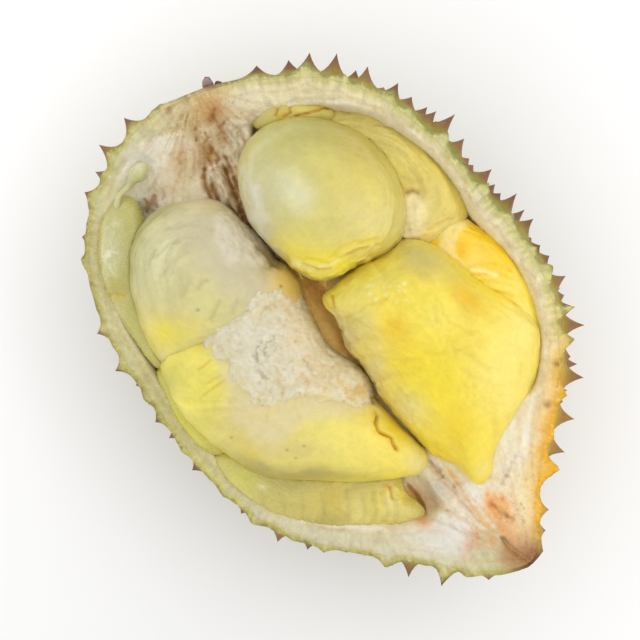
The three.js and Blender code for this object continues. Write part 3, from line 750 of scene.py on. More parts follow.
def stroke(U, V, line, width, ends=0.12):
    d, share, side = polyline_distance(U, V, line)
    return np.exp(-(d / width) ** 2) * sstep(0, ends, share + 1e-9) * sstep(1, 1 - ends, share - 1e-9)


def area_of(U, V, polygon, soft=4.0):
    """1 inside a polygon, 0 outside, soft at its edge."""
    poly = np.asarray(polygon, float)
    closed = np.concatenate([poly, poly[:1]])
    d, _, _ = polyline_distance(U, V, closed)
    inside = np.zeros(np.shape(U), bool)
    for (x0, y0), (x1, y1) in zip(closed[:-1], closed[1:]):
        crosses = (y0 > V) != (y1 > V)
        with np.errstate(divide="ignore", invalid="ignore"):
            xi = (x1 - x0) * (V - y0) / (y1 - y0 if y1 != y0 else 1e-9) + x0
        inside ^= crosses & (U < xi)
    return sstep(-soft, soft, np.where(inside, d, -d))


def airbrush(colour, U, V, items):
    for u, v, ru, rv, turn, tone, strength in items:
        colour = mix(colour, hexlin(tone), np.clip(strength * blob(U, V, u, v, ru, rv, turn), 0, 1))
    return colour


# ---------------------------------------------------------------- pods
PODS = {
    "pod_upper_centre": dict(
        c=(-45.4, 37.1), z=92, up=31, down=44, lean=(0, -0.04), room=1.0,
        o=[(-83.9, 13.7), (-88.2, 20.0), (-90.6, 27.2), (-90.7, 35.0), (-88.7, 42.5), (-84.1, 51.1), (-77.6, 58.2), (-67.7, 65.8), (-57.4, 70.7),
           (-47.4, 72.8), (-37.1, 72.2), (-27.8, 70.1), (-19.8, 66.4), (-12.8, 60.6), (-8.2, 54.7), (-6.5, 48.1), (-7.5, 40.4), (-9.4, 32.3),
           (-11.2, 23.4), (-12.7, 16.7), (-15.7, 11.8), (-19.4, 8.5), (-25.0, 6.7), (-31.9, 4.7), (-39.6, 3.3), (-48.0, 2.4), (-57.2, 2.1),
           (-66.8, 4.5), (-75.9, 8.4)]),
    "pod_lower_right": dict(
        c=(46.1, 36.6), z=84, up=31, down=46, lean=(-0.1, 0.05), room=3.5, full=0.9,
        o=[(-9.4, 8.3), (-10.6, 16.3), (-10.9, 23.8), (-10.2, 32.8), (-8.8, 45.0), (-7.9, 55.1), (-2.7, 62.0), (5.6, 66.6), (15.1, 69.7),
           (24.8, 71.4), (34.3, 74.5), (43.7, 78.6), (54.0, 82.2), (64.8, 83.0), (73.1, 79.0), (80.6, 71.5), (87.7, 60.2), (92.7, 49.2),
           (97.2, 35.6), (102.6, 27.6), (106.4, 24.0), (109.3, 19.4), (110.4, 14.4), (107.3, 11.9), (101.2, 11.7), (94.6, 10.1), (88.2, 6.4),
           (81.3, 4.4), (71.2, 3.0), (60.8, 1.8), (51.8, 1.9), (44.0, 1.8), (35.1, 3.6), (26.6, 3.5), (19.6, 2.1), (14.6, 3.5), (8.1, 6.0),
           (1.0, 7.7), (-3.9, 6.0)]),
    "pod_left_upper": dict(
        c=(-47.8, -30.1), z=78, up=29, down=45, lean=(0, 0.03), room=1.5,
        o=[(-76.3, -58.6), (-82.5, -54.0), (-87.2, -47.4), (-90.0, -39.3), (-90.5, -31.1), (-88.6, -22.9), (-84.7, -14.5), (-79.0, -6.1),
           (-70.4, -1.8), (-60.6, -0.8), (-49.3, -0.2), (-38.5, 0.7), (-28.9, 3.1), (-20.6, 2.9), (-13.3, -0.2), (-7.3, -6.5), (-5.4, -15.2),
           (-7.3, -25.7), (-10.8, -36.9), (-15.2, -47.4), (-19.2, -57.6), (-23.2, -67.8), (-28.3, -73.0), (-38.2, -73.3), (-53.5, -69.7),
           (-66.5, -64.7)]),
    "pod_left_lower": dict(
        c=(21.3, -36.0), z=79, up=29, down=45, lean=(-0.04, 0.02), room=1.5,
        o=[(-29.2, -74.1), (-34.8, -68.7), (-36.5, -61.4), (-34.4, -52.2), (-30.2, -40.3), (-26.9, -27.8), (-22.8, -17.7), (-17.4, -8.0),
           (-10.7, -2.2), (1.2, -3.3), (11.5, -3.8), (21.0, -0.8), (29.2, 2.1), (36.7, 2.5), (44.0, -0.6), (53.4, 0.8), (63.2, 1.8),
           (73.2, 3.3), (81.4, 3.7), (86.3, 0.7), (87.9, -6.0), (83.7, -14.8), (77.3, -25.0), (70.5, -34.8), (61.4, -46.1), (53.0, -56.5),
           (45.5, -64.1), (36.7, -69.5), (27.6, -73.5), (18.1, -76.6), (8.2, -78.7), (-2.7, -79.6), (-13.1, -79.0), (-21.9, -77.2)]),
    "pod_upper_right": dict(
        c=(-36.5, 68.7), z=78, up=15, down=46, lean=(0, 0.12), room=4.0, full=0.8,
        o=[(-80.3, 48.2), (-83.9, 54.5), (-81.2, 62.1), (-77.0, 70.9), (-68.5, 79.0), (-58.8, 84.9), (-49.3, 88.6), (-40.0, 90.8),
           (-30.0, 92.4), (-20.7, 93.0), (-10.0, 92.0), (1.0, 88.5), (4.4, 83.0), (6.2, 76.5), (7.5, 70.0), (6.0, 62.5), (2.0, 55.0),
           (-8.4, 48.3), (-17.6, 44.2), (-33.9, 40.4), (-56.0, 39.0), (-71.2, 42.6)]),
    "pod_right_edge": dict(
        c=(41.2, 71.8), z=81, up=14, down=47, lean=(0.03, 0.10), room=4.0, full=0.8,
        o=[(-4.0, 66.0), (-5.0, 74.0), (-2.0, 81.8), (5.0, 87.0), (14.2, 91.4), (27.0, 93.2), (40.2, 92.4), (52.3, 90.0), (62.4, 87.0), (72.1, 81.4), (78.8, 74.0),
           (82.0, 66.0), (80.0, 60.0), (72.0, 56.0), (62.0, 54.0), (50.0, 51.0), (34.0, 48.0), (16.0, 50.0), (4.0, 56.0)]),
    "pod_upper_end": dict(
        c=(-87.5, 48.2), z=84, up=10, down=26, lean=(0, 0.1), room=4.5,
        o=[(-96.7, 31.1), (-99.1, 35.9), (-98.9, 41.8), (-96.4, 48.3), (-91.1, 54.5), (-85.2, 60.9), (-79.4, 66.1), (-75.3, 66.0),
           (-73.2, 60.9), (-76.6, 51.5), (-81.6, 43.2), (-88.3, 35.0), (-92.8, 30.6)]),
    "pod_bottom_left": dict(
        c=(67.9, -50.9), z=69, up=11.5, down=35, lean=(0.02, 0), room=3.5, full=0.8,
        o=[(21.1, -80.6), (22.6, -73.9), (29.0, -63.7), (42.4, -49.8), (58.8, -32.1), (73.6, -16.2), (82.4, -12.6), (88.5, -14.8),
           (93.5, -16.1), (98.4, -14.4), (103.8, -13.6), (107.2, -16.2), (107.8, -20.3), (102.9, -29.2), (94.7, -41.0), (86.0, -52.5),
           (76.9, -63.1), (67.1, -71.3), (57.6, -76.8), (47.1, -80.4), (36.8, -82.2), (27.9, -82.8)]),
    "pod_left_edge": dict(
        c=(-71.4, -61.6), z=70.5, up=13, down=36, lean=(0, 0), room=5.0, full=0.85,
        o=[(-107.7, -45.2), (-107.5, -39.4), (-103.2, -36.0), (-95.9, -36.7), (-85.4, -40.3), (-72.2, -46.7), (-58.9, -53.0),
           (-45.1, -58.6), (-31.9, -64.9), (-26.7, -72.4), (-28.8, -76.8), (-35.4, -78.4), (-47.1, -78.0), (-57.9, -77.2), (-69.5, -75.1),
           (-81.3, -71.6), (-91.7, -66.2), (-101.1, -58.0), (-106.3, -50.5)]),
    "pod_left_low_edge": dict(
        c=(-2.9, -75.8), z=68.5, up=10, down=30, lean=(0, 0), room=4.0, full=0.8,
        o=[(-28.6, -78.1), (-28.6, -73.3), (-25.2, -68.7), (-17.3, -66.2), (-6.3, -66.0), (5.4, -66.4), (16.5, -67.6), (23.8, -70.7),
           (24.6, -76.0), (20.5, -81.4), (13.1, -84.2), (2.2, -85.1), (-8.9, -83.9), (-19.6, -81.3)]),
}


def smooth_loop(points, n):
    """Closed centripetal Catmull-Rom curve, evenly stepped."""
    p = np.asarray(points, float)
    m = len(p)
    out = []
    for i in range(m):
        q = [p[(i + k - 1) % m] for k in range(4)]
        t = [0.0]
        for k in range(3):
            t.append(t[-1] + max(1e-6, np.linalg.norm(q[k + 1] - q[k])) ** 0.5)
        u = np.linspace(t[1], t[2], 12, endpoint=False)[:, None]
        a1 = ((t[1] - u) * q[0] + (u - t[0]) * q[1]) / (t[1] - t[0])
        a2 = ((t[2] - u) * q[1] + (u - t[1]) * q[2]) / (t[2] - t[1])
        a3 = ((t[3] - u) * q[2] + (u - t[2]) * q[3]) / (t[3] - t[2])
        b1 = ((t[2] - u) * a1 + (u - t[0]) * a2) / (t[2] - t[0])
        b2 = ((t[3] - u) * a2 + (u - t[1]) * a3) / (t[3] - t[1])
        out.append(((t[2] - u) * b1 + (u - t[1]) * b2) / (t[2] - t[1]))
    out = np.concatenate(out)
    loop = np.concatenate([out, out[:1]])
    d = np.concatenate([[0], np.cumsum(np.linalg.norm(np.diff(loop, axis=0), axis=1))])
    s = np.linspace(0, d[-1], n, endpoint=False)
    return np.stack([np.interp(s, d, loop[:, 0]), np.interp(s, d, loop[:, 1])], -1)


def pod_form(spec, grow=0.0, around=200, rings=44):
    loop = smooth_loop(spec["o"], around)
    c = np.array(spec["c"])
    if grow:
        t = np.roll(loop, -1, 0) - np.roll(loop, 1, 0)
        nrm = np.stack([t[:, 1], -t[:, 0]], -1)
        nrm /= np.linalg.norm(nrm, axis=1, keepdims=True)
        if ((loop - c) * nrm).sum() < 0:
            nrm = -nrm
        loop = loop + nrm * grow
    v = -math.pi / 2 + math.pi * np.arange(1, rings) / rings
    full = spec.get("full", 1.0)
    g = np.where(v > 0, np.cos(v) ** (0.86 * full), np.cos(v) ** 0.86)
    amp = np.where(v > 0, (spec["up"] + grow) * np.maximum(1e-9, np.sin(v)) ** (full - 1), spec["down"] + grow)
    x = c[0] + (loop[None, :, 0] - c[0]) * g[:, None]
    y = c[1] + (loop[None, :, 1] - c[1]) * g[:, None]
    z = spec["z"] + (np.sin(v) * amp)[:, None] + (x - c[0]) * spec["lean"][0] + (y - c[1]) * spec["lean"][1]
    verts = np.stack([x, y, z], -1).reshape(-1, 3)
    verts = np.concatenate([verts, [[c[0], c[1], spec["z"] - spec["down"] - grow], [c[0], c[1], spec["z"] + spec["up"] + grow]]])
    n, m = around, rings - 1
    k, j = np.meshgrid(np.arange(m - 1), np.arange(n), indexing="ij")
    j2 = (j + 1) % n
    a, b, cc, d = k * n + j, k * n + j2, (k + 1) * n + j2, (k + 1) * n + j
    tris = np.concatenate([np.stack([a, b, cc], -1).reshape(-1, 3), np.stack([a, cc, d], -1).reshape(-1, 3)])
    j = np.arange(n)
    j2 = (j + 1) % n
    tris = np.concatenate([tris, np.stack([np.full(n, n * m), j2, j], -1), np.stack([np.full(n, n * m + 1), (m - 1) * n + j, (m - 1) * n + j2], -1)])
    t = verts[tris] - verts.mean(0)
    if np.einsum("ij,ij->i", t[:, 0], np.cross(t[:, 1], t[:, 2])).sum() < 0:
        tris = tris[:, ::-1].copy()
    return verts, tris


def room_form(grow, across=96, along=110):
    """The chambers' round room, grown a little into the soft pith."""
    psi = np.linspace(0, math.pi, along + 1)[1:-1]
    xm, a = (IN_X[0] + IN_X[1]) / 2, (IN_X[1] - IN_X[0]) / 2 + grow
    ang = np.linspace(0, 2 * math.pi, across, endpoint=False)
    P, F = np.meshgrid(psi, ang, indexing="ij")
    s, c, d = np.sin(P), np.cos(F), np.sin(F)
    x = xm - a * np.cos(P)
    w = np.where(c >= 0, table(IN_POS, P), table(IN_NEG, P)) * s + grow * np.minimum(1, s * 3)
    h = np.where(d > 0, table(IN_DEPTH, P) * s + grow * np.minimum(1, s * 3), 60 * np.minimum(1, s * 2.5))
    v = np.stack([x, chamber_y(x) + w * c, EQUATOR_Z - h * d], -1).reshape(-1, 3)
    verts = np.concatenate([v, [[xm - a, chamber_y(xm - a), EQUATOR_Z]], [[xm + a, chamber_y(xm + a), EQUATOR_Z]]])
    n, m = across, len(psi)
    k, j = np.meshgrid(np.arange(m - 1), np.arange(n), indexing="ij")
    j2 = (j + 1) % n
    p, q, r, t = k * n + j, k * n + j2, (k + 1) * n + j2, (k + 1) * n + j
    tris = np.concatenate([np.stack([p, q, r], -1).reshape(-1, 3), np.stack([p, r, t], -1).reshape(-1, 3)])
    j = np.arange(n)
    j2 = (j + 1) % n
    tris = np.concatenate([tris, np.stack([np.full(n, n * m), j2, j], -1), np.stack([np.full(n, n * m + 1), (m - 1) * n + j, (m - 1) * n + j2], -1)])
    t = verts[tris] - verts.mean(0)
    if np.einsum("ij,ij->i", t[:, 0], np.cross(t[:, 1], t[:, 2])).sum() < 0:
        tris = tris[:, ::-1].copy()
    return verts, tris


def relax(ob, times, weight=0.5):
    """A few rounds of even smoothing of a closed mesh."""
    me = ob.data
    n = len(me.vertices)
    e = np.empty(len(me.edges) * 2, np.int32)
    me.edges.foreach_get("vertices", e)
    e = e.reshape(-1, 2)
    deg = np.maximum(1, np.bincount(e.ravel(), minlength=n))[:, None]
    p = coords(ob)
    for k in range(times):
        q = np.zeros_like(p)
        for ax in range(3):
            q[:, ax] = np.bincount(e[:, 0], p[e[:, 1], ax], n) + np.bincount(e[:, 1], p[e[:, 0], ax], n)
        p = lerp(p, q / deg, weight)
    set_coords(ob, p)


def remesh(ob, size_mm):
    m = ob.modifiers.new("even", "REMESH")
    m.mode, m.voxel_size, m.adaptivity = "VOXEL", size_mm / 1000, 0.0
    apply_modifiers(ob)


def pod_share(spec, x, y):
    """How far out from the pod's middle to its edge a place in plan is, and the angle there."""
    loop = smooth_loop(spec["o"], 400)
    c = np.array(spec["c"])
    la = np.arctan2(loop[:, 1] - c[1], loop[:, 0] - c[0])
    lr = np.hypot(loop[:, 0] - c[0], loop[:, 1] - c[1])
    o = np.argsort(la)
    la, lr = la[o], lr[o]
    a = np.arctan2(y - c[1], x - c[0])
    r = np.interp(a, np.concatenate([la - 2 * math.pi, la, la + 2 * math.pi]), np.tile(lr, 3))
    return np.hypot(x - c[0], y - c[1]) / r, a


def make_pods():
    made = {}
    rooms = {}
    names = list(PODS)
    for i, name in enumerate(names):
        spec = PODS[name]
        ob = mesh_object(name + "_flesh", *pod_form(spec))
        if spec["room"] not in rooms:
            rooms[spec["room"]] = mesh_object("room", *room_form(spec["room"]))
        boolean(ob, rooms[spec["room"]], "INTERSECT")
        for before in names[:i]:
            a, b = np.array(spec["o"]), np.array(PODS[before]["o"])
            if (a.min(0) - 2 < b.max(0)).all() and (b.min(0) - 2 < a.max(0)).all():
                other = mesh_object("other", *pod_form(PODS[before], -0.9))
                boolean(ob, other, "DIFFERENCE")
                drop(other)
        big = name in ("pod_upper_centre", "pod_lower_right", "pod_left_upper", "pod_left_lower")
        remesh(ob, 0.85 if big else 0.8)
        keep_largest(ob)
        relax(ob, 6)
        smooth_shade(ob)
        made[name] = ob
    drop(*rooms.values())
    return made


def keep_largest(ob):
    """Drop small loose bodies left by the cutting."""
    me = ob.data
    n = len(me.vertices)
    e = np.empty(len(me.edges) * 2, np.int32)
    me.edges.foreach_get("vertices", e)
    e = e.reshape(-1, 2)
    lab = np.arange(n)
    while True:
        new = lab.copy()
        np.minimum.at(new, e[:, 0], lab[e[:, 1]])
        np.minimum.at(new, e[:, 1], lab[e[:, 0]])
        new = new[new]
        if (new == lab).all():
            break
        lab = new
    ids, counts = np.unique(lab, return_counts=True)
    if len(ids) == 1:
        return
    best = ids[counts.argmax()]
    bm = bmesh.new()
    bm.from_mesh(me)
    bm.verts.ensure_lookup_table()
    bmesh.ops.delete(bm, geom=[bm.verts[k] for k in np.nonzero(lab != best)[0]], context="VERTS")
    bm.to_mesh(me)
    bm.free()


# ---------------------------------------------------------------- relief and colour of each pod
def grain(p, seed):
    """Unevenness every pod has: slow swells, then finer ones."""
    return 0.7 * fbm(p / 17, 2, seed) + 0.22 * fbm(p / 5.5, 2, seed + 3) + 0.06 * fbm(p / 1.9, 2, seed + 6)


def ridged(t):
    """A soft crest and a narrower valley, from -1 to 1, once per unit of t."""
    return 1 - 2 * np.abs(2 * (t - np.floor(t)) - 1) ** 1.6


def rough_skin(p, seed, scale=2.2):
    """Crumbly torn pith."""
    return 0.55 * fbm(p / scale, 4, seed, 0.6) + 0.45 * (1 - 2 * np.abs(fbm(p / (scale * 1.7), 3, seed + 5)))


class Pod:
    """A pod's points with their place in the opening, its relief in mm and its colour."""

    def __init__(self, ob, name, seed):
        self.ob, self.spec, self.seed = ob, PODS[name], seed
        self.p = coords(ob)
        self.n = vnormals(ob)
        self.U, self.V = places(self.p)
        self.share, self.angle = pod_share(self.spec, self.p[:, 0], self.p[:, 1])
        self.up = sstep(-0.35, 0.35, self.n[:, 2])
        self.d = grain(self.p, seed)
        self.rough = np.full(len(self.p), 0.0)
        self.wu = self.U + 5 * fbm(self.p / 9, 3, seed + 40)
        self.wv = self.V + 5 * fbm(self.p / 9, 3, seed + 50)

    def paint(self, base, items):
        self.c = np.tile(hexlin(base), (len(self.p), 1))
        self.c = airbrush(self.c, self.wu, self.wv, items)

    def tint(self, tone, weight):
        self.c = mix(self.c, hexlin(tone), np.clip(weight, 0, 1))

    def line(self, points, width, depth, tone=None, strength=0.8, spread=1.6):
        w = stroke(self.U + 1.2 * vnoise(self.p / 2.5, 3), self.V + 1.2 * vnoise(self.p / 2.5, 8), points, width)
        self.d = self.d - depth * w * self.up
        if tone:
            s = stroke(self.U, self.V, points, width * spread)
            self.tint(tone, strength * s * self.up)

    def flow(self, relief, across, along, turn=0.0, where=1.0, tone=0.04):
        """Long soft streaks: along the pod's edge, or from its middle out when turn is 1."""
        wob = 0.9 * fbm(self.p / 26, 2, self.seed + 90)
        a, b = (self.share * across + wob, self.angle * along) if not turn else (self.angle * across + wob, self.share * along)
        st = fbm(np.stack([a, b, self.p[:, 2] * 0 + self.seed], -1), 3, self.seed + 93)
        thin = fbm(np.stack([a * 2.7, b * 1.4, self.p[:, 2] * 0 + self.seed], -1), 2, self.seed + 96)
        crease = sstep(0.10, 0.0, np.abs(thin))
        w = where * self.up * sstep(0.12, 0.4, self.share)
        self.d += w * relief * (0.9 * st - 0.5 * crease + 0.35 * thin)
        # the colour follows the relief, lighter on the raised streaks and darker in the creases: partly the flesh's own
        # streaking, partly painted light and shade
        self.c = self.c * (1 + tone * w * (1.6 * st - 0.5 * crease))[:, None]

    def done(self, streaks=0.05, lift=1.0):
        p = self.p
        grey = self.c.mean(1, keepdims=True)
        self.c = np.clip(grey + (self.c - grey) * 1.10, 0.01, 1) * lift
        mottle = fbm(p / 6, 4, self.seed + 70)
        self.c = self.c * (1 + 0.05 * mottle + streaks * fbm(p / 2.2, 3, self.seed + 77))[:, None]
        set_coords(self.ob, p + self.n * self.d[:, None])
        colour_attr(self.ob, "tint", np.clip(self.c, 0, 1))
        attr(self.ob, "chalk", self.rough)


def pod_upper_centre(ob):
    q = Pod(ob, "pod_upper_centre", 1)
    U, V = q.U, q.V
    # the pale patch at (285, 190) in this paint is painted highlight
    q.paint("#d6cb7c", [
        (300, 130, 60, 26, 10, "#bdb878", 0.9), (262, 160, 26, 34, 0, "#bfba80", 0.8), (350, 135, 46, 26, 30, "#c9bd6e", 0.8),
        (330, 165, 46, 26, 20, "#cfc46c", 0.6), (372, 190, 34, 44, -20, "#dccb6e", 0.8), (285, 190, 26, 34, -40, "#d6d2a4", 0.75),
        (262, 205, 16, 34, -12, "#c3bb8c", 0.75), (300, 225, 40, 22, 0, "#d2c76a", 0.5), (375, 225, 30, 26, 0, "#e4d590", 0.7),
        (300, 252, 30, 14, 12, "#ead95c", 0.8), (330, 262, 36, 15, 0, "#efdc4c", 0.95), (365, 248, 26, 12, -20, "#e6d268", 0.7),
        (252, 200, 9, 30, -10, "#c9c4a6", 0.8), (262, 232, 12, 14, -30, "#cdc3a0", 0.8), (285, 262, 12, 10, 30, "#e2d27c", 0.6)])
    # the near-white spot at (296, 194) is a painted highlight
    q.c = airbrush(q.c, q.wu, q.wv, [(330, 124, 62, 20, 6, "#a3984a", 0.75), (366, 150, 34, 24, 45, "#b8a24c", 0.55), (283, 138, 22, 16, -30, "#b2ac66", 0.5),
                                     (296, 194, 22, 13, 50, "#eceace", 0.5), (272, 196, 12, 26, -10, "#c9c59c", 0.5)])
    # long soft streaks that follow the pod round its right side
    q.flow(0.8, 8, 0.9, where=blob(U, V, 378, 180, 56, 90) * sstep(0.35, 0.7, q.share), tone=0.10)
    q.d += 0.10 * fbm(q.p / 1.6, 2, 11) * blob(U, V, 296, 194, 34, 34)
    # a fold across the top left
    q.line([(280, 165), (292, 158), (305, 145), (330, 142), (352, 150)], 5, 0.7)
    q.line([(285, 168), (297, 160), (306, 152)], 2.4, 0.6)
    # the torn frill near the lower end
    q.line([(330, 262), (340, 250), (350, 245), (368, 243), (382, 240)], 2.6, 1.3, "#e9d55e", 0.5)
    q.line([(300, 258), (315, 262), (330, 266), (343, 258), (356, 250)], 2.0, 0.9)
    q.line([(356, 268), (366, 258), (374, 250), (380, 244)], 2.2, 1.2, "#d9b93e", 0.6)
    frill = stroke(q.wu, q.wv, [(284, 258), (300, 268), (320, 274), (340, 270), (356, 260), (376, 250)], 4.5)
    q.d += frill * q.up * (1.0 + 1.5 * rough_skin(q.p, 27, 3.0))
    q.tint("#f6ecae", 0.6 * stroke(q.wu, q.wv, [(292, 261), (310, 267), (328, 267), (340, 256)], 2.0))
    q.tint("#f4e7a4", 0.5 * stroke(q.wu, q.wv, [(352, 262), (366, 256), (382, 246)], 1.8))
    q.line([(300, 262), (318, 270), (334, 268)], 1.1, 1.2, "#c9a830", 0.5)
    q.line([(346, 256), (358, 250), (372, 247)], 1.1, 1.2, "#c9a830", 0.5)
    # the thin white skin down its left side
    left = stroke(q.wu, q.wv, [(244, 160), (241, 190), (246, 215), (262, 238), (284, 262)], 8)
    q.tint("#d2cbb4", 0.8 * left * sstep(-0.4, 0.3, fbm(q.p / 4, 3, 29)))
    q.rough += 0.8 * left
    q.d += left * (0.9 * rough_skin(q.p, 7, 2.4))
    flap = area_of(q.wu, q.wv, [(252, 184), (260, 186), (262, 204), (268, 222), (262, 232), (254, 218)], 3)
    q.tint("#d6d2bc", 0.7 * flap)
    q.d += 0.5 * flap
    q.d += 0.12 * fbm(np.stack([q.p[:, 0] / 2.2, q.p[:, 1] / 14, q.p[:, 2] / 4], -1), 2, 9)
    q.done()


def pod_upper_right(ob):
    q = Pod(ob, "pod_upper_right", 2)
    U, V = q.U, q.V
    q.paint("#d0c066", [
        (335, 112, 34, 12, 8, "#c0b574", 0.85), (375, 125, 34, 16, 25, "#c9bc72", 0.8), (400, 150, 34, 22, 40, "#d8c87c", 0.8),
        (425, 175, 20, 26, -20, "#d4c26c", 0.8), (430, 205, 22, 22, 0, "#d6c57c", 0.9), (412, 192, 14, 8, 0, "#b59c56", 0.6),
        (440, 225, 22, 16, 0, "#dac97e", 0.8), (412, 222, 13, 24, 0, "#e0d2a0", 0.8), (425, 240, 26, 9, 10, "#e0cf94", 0.8)])
    q.flow(0.9, 8, 1.0, tone=0.10)
    # folds where it was pressed against its neighbours
    for pts_, wd, dep in (
            ([(352, 118), (366, 122), (378, 130)], 2.0, 0.7), ([(356, 128), (372, 124), (392, 126)], 1.6, 0.6), ([(372, 140), (392, 146), (410, 158)], 2.4, 0.5),
            ([(398, 176), (410, 182), (424, 180)], 2.4, 0.8)):
        q.line(pts_, wd, dep, "#b7a866", 0.2)
    q.line([(404, 194), (412, 191), (420, 194)], 1.6, 1.6, "#a4823e", 0.55)
    q.line([(424, 232), (434, 226), (446, 220), (456, 218)], 1.3, 0.9, "#cfae56", 0.4)
    patch = area_of(q.wu, q.wv, [(400, 196), (416, 194), (424, 208), (424, 230), (412, 240), (398, 240)], 6)
    flake = rough_skin(q.p, 12, 2.6)
    q.tint("#e9dcb6", 0.75 * patch)
    # darker in the flaky patch's low places: partly its own colour, partly painted shade
    q.tint("#d3b97c", 0.5 * patch * sstep(-0.05, -0.4, flake))
    q.rough += patch
    q.d += patch * (0.6 + 1.2 * flake)
    lower = stroke(q.wu, q.wv, [(404, 240), (420, 242), (436, 234), (450, 224), (462, 218)], 5)
    q.d += lower * 0.8 * rough_skin(q.p, 28, 2.6)
    q.tint("#e2cf86", 0.4 * lower)
    q.done(lift=1.13)


def pod_upper_end(ob):
    q = Pod(ob, "pod_upper_end", 3)
    U, V = q.U, q.V
    q.paint("#cdc06e", [
        (260, 112, 12, 12, 0, "#c6bc80", 0.9), (284, 112, 9, 9, 0, "#cdb04a", 0.8), (300, 108, 16, 7, 0, "#d8c672", 0.8), (322, 108, 12, 5, 0, "#c9a83e", 0.5)])
    q.line([(275, 118), (277, 108), (280, 102), (286, 100)], 1.1, 1.3, "#c09030", 0.7)
    q.line([(283, 119), (290, 113), (290, 106), (286, 103)], 1.1, 1.3, "#c09030", 0.7)
    q.line([(292, 117), (306, 114), (322, 108), (336, 105)], 1.2, 1.4, "#b98f30", 0.7)
    q.line([(258, 108), (266, 103), (276, 101)], 1.6, 0.6, "#b8ac66", 0.4)
    q.d += 0.9 * rough_skin(q.p, 14, 3.0) * blob(U, V, 284, 110, 14)
    q.done()


def pod_right_edge(ob):
    q = Pod(ob, "pod_right_edge", 4)
    U, V = q.U, q.V
    q.paint("#eecb46", [
        (470, 232, 20, 14, 20, "#f0cf4e", 0.9), (492, 248, 22, 18, 45, "#edc93f", 0.9), (470, 262, 16, 12, 0, "#f2d97c", 0.8),
        (458, 250, 10, 8, 0, "#edb92f", 0.8), (500, 285, 34, 12, 0, "#f4df72", 0.8), (505, 300, 30, 8, 0, "#efcb38", 0.8),
        (520, 330, 18, 40, 0, "#f7e384", 0.9), (525, 370, 14, 30, 10, "#f6df72", 0.9), (480, 300, 14, 12, 0, "#edc63a", 0.8), (478, 330, 16, 16, 0, "#f3d85a", 0.6)])
    for k, (y0, dep) in enumerate(((266, 0.5), (275, 0.9), (283, 0.5), (293, 0.9), (302, 0.5), (312, 0.4))):
        q.line([(464 + 3 * k, y0 + 2), (480 + 2 * k, y0 - 2 + k % 2), (500, y0), (514 + 3 * (k % 3), y0 + 5)], 1.7, dep, "#e2b93a", 0.25)
    q.line([(468, 270), (484, 272), (500, 276)], 1.4, -0.6, "#faf0b8", 0.6)
    q.d += 0.16 * ridged(q.share * 7 + 1.0 * fbm(q.p / 16, 2, 5)) * sstep(0.55, 0.9, q.share) * q.up
    q.flow(0.5, 8, 1.2, where=sstep(440, 470, U), tone=0.05)
    torn = area_of(q.wu, q.wv, [(440, 228), (460, 217), (472, 220), (460, 236), (452, 252), (462, 268), (450, 262), (438, 250)], 4)
    q.tint("#ecdc9c", 0.75 * torn)
    q.d += torn * (0.4 + 1.2 * rough_skin(q.p, 15, 3.0))
    q.rough += 0.5 * torn
    q.line([(450, 223), (460, 218), (470, 219)], 1.1, 1.2, "#a9822e", 0.6)
    q.done(lift=1.13)


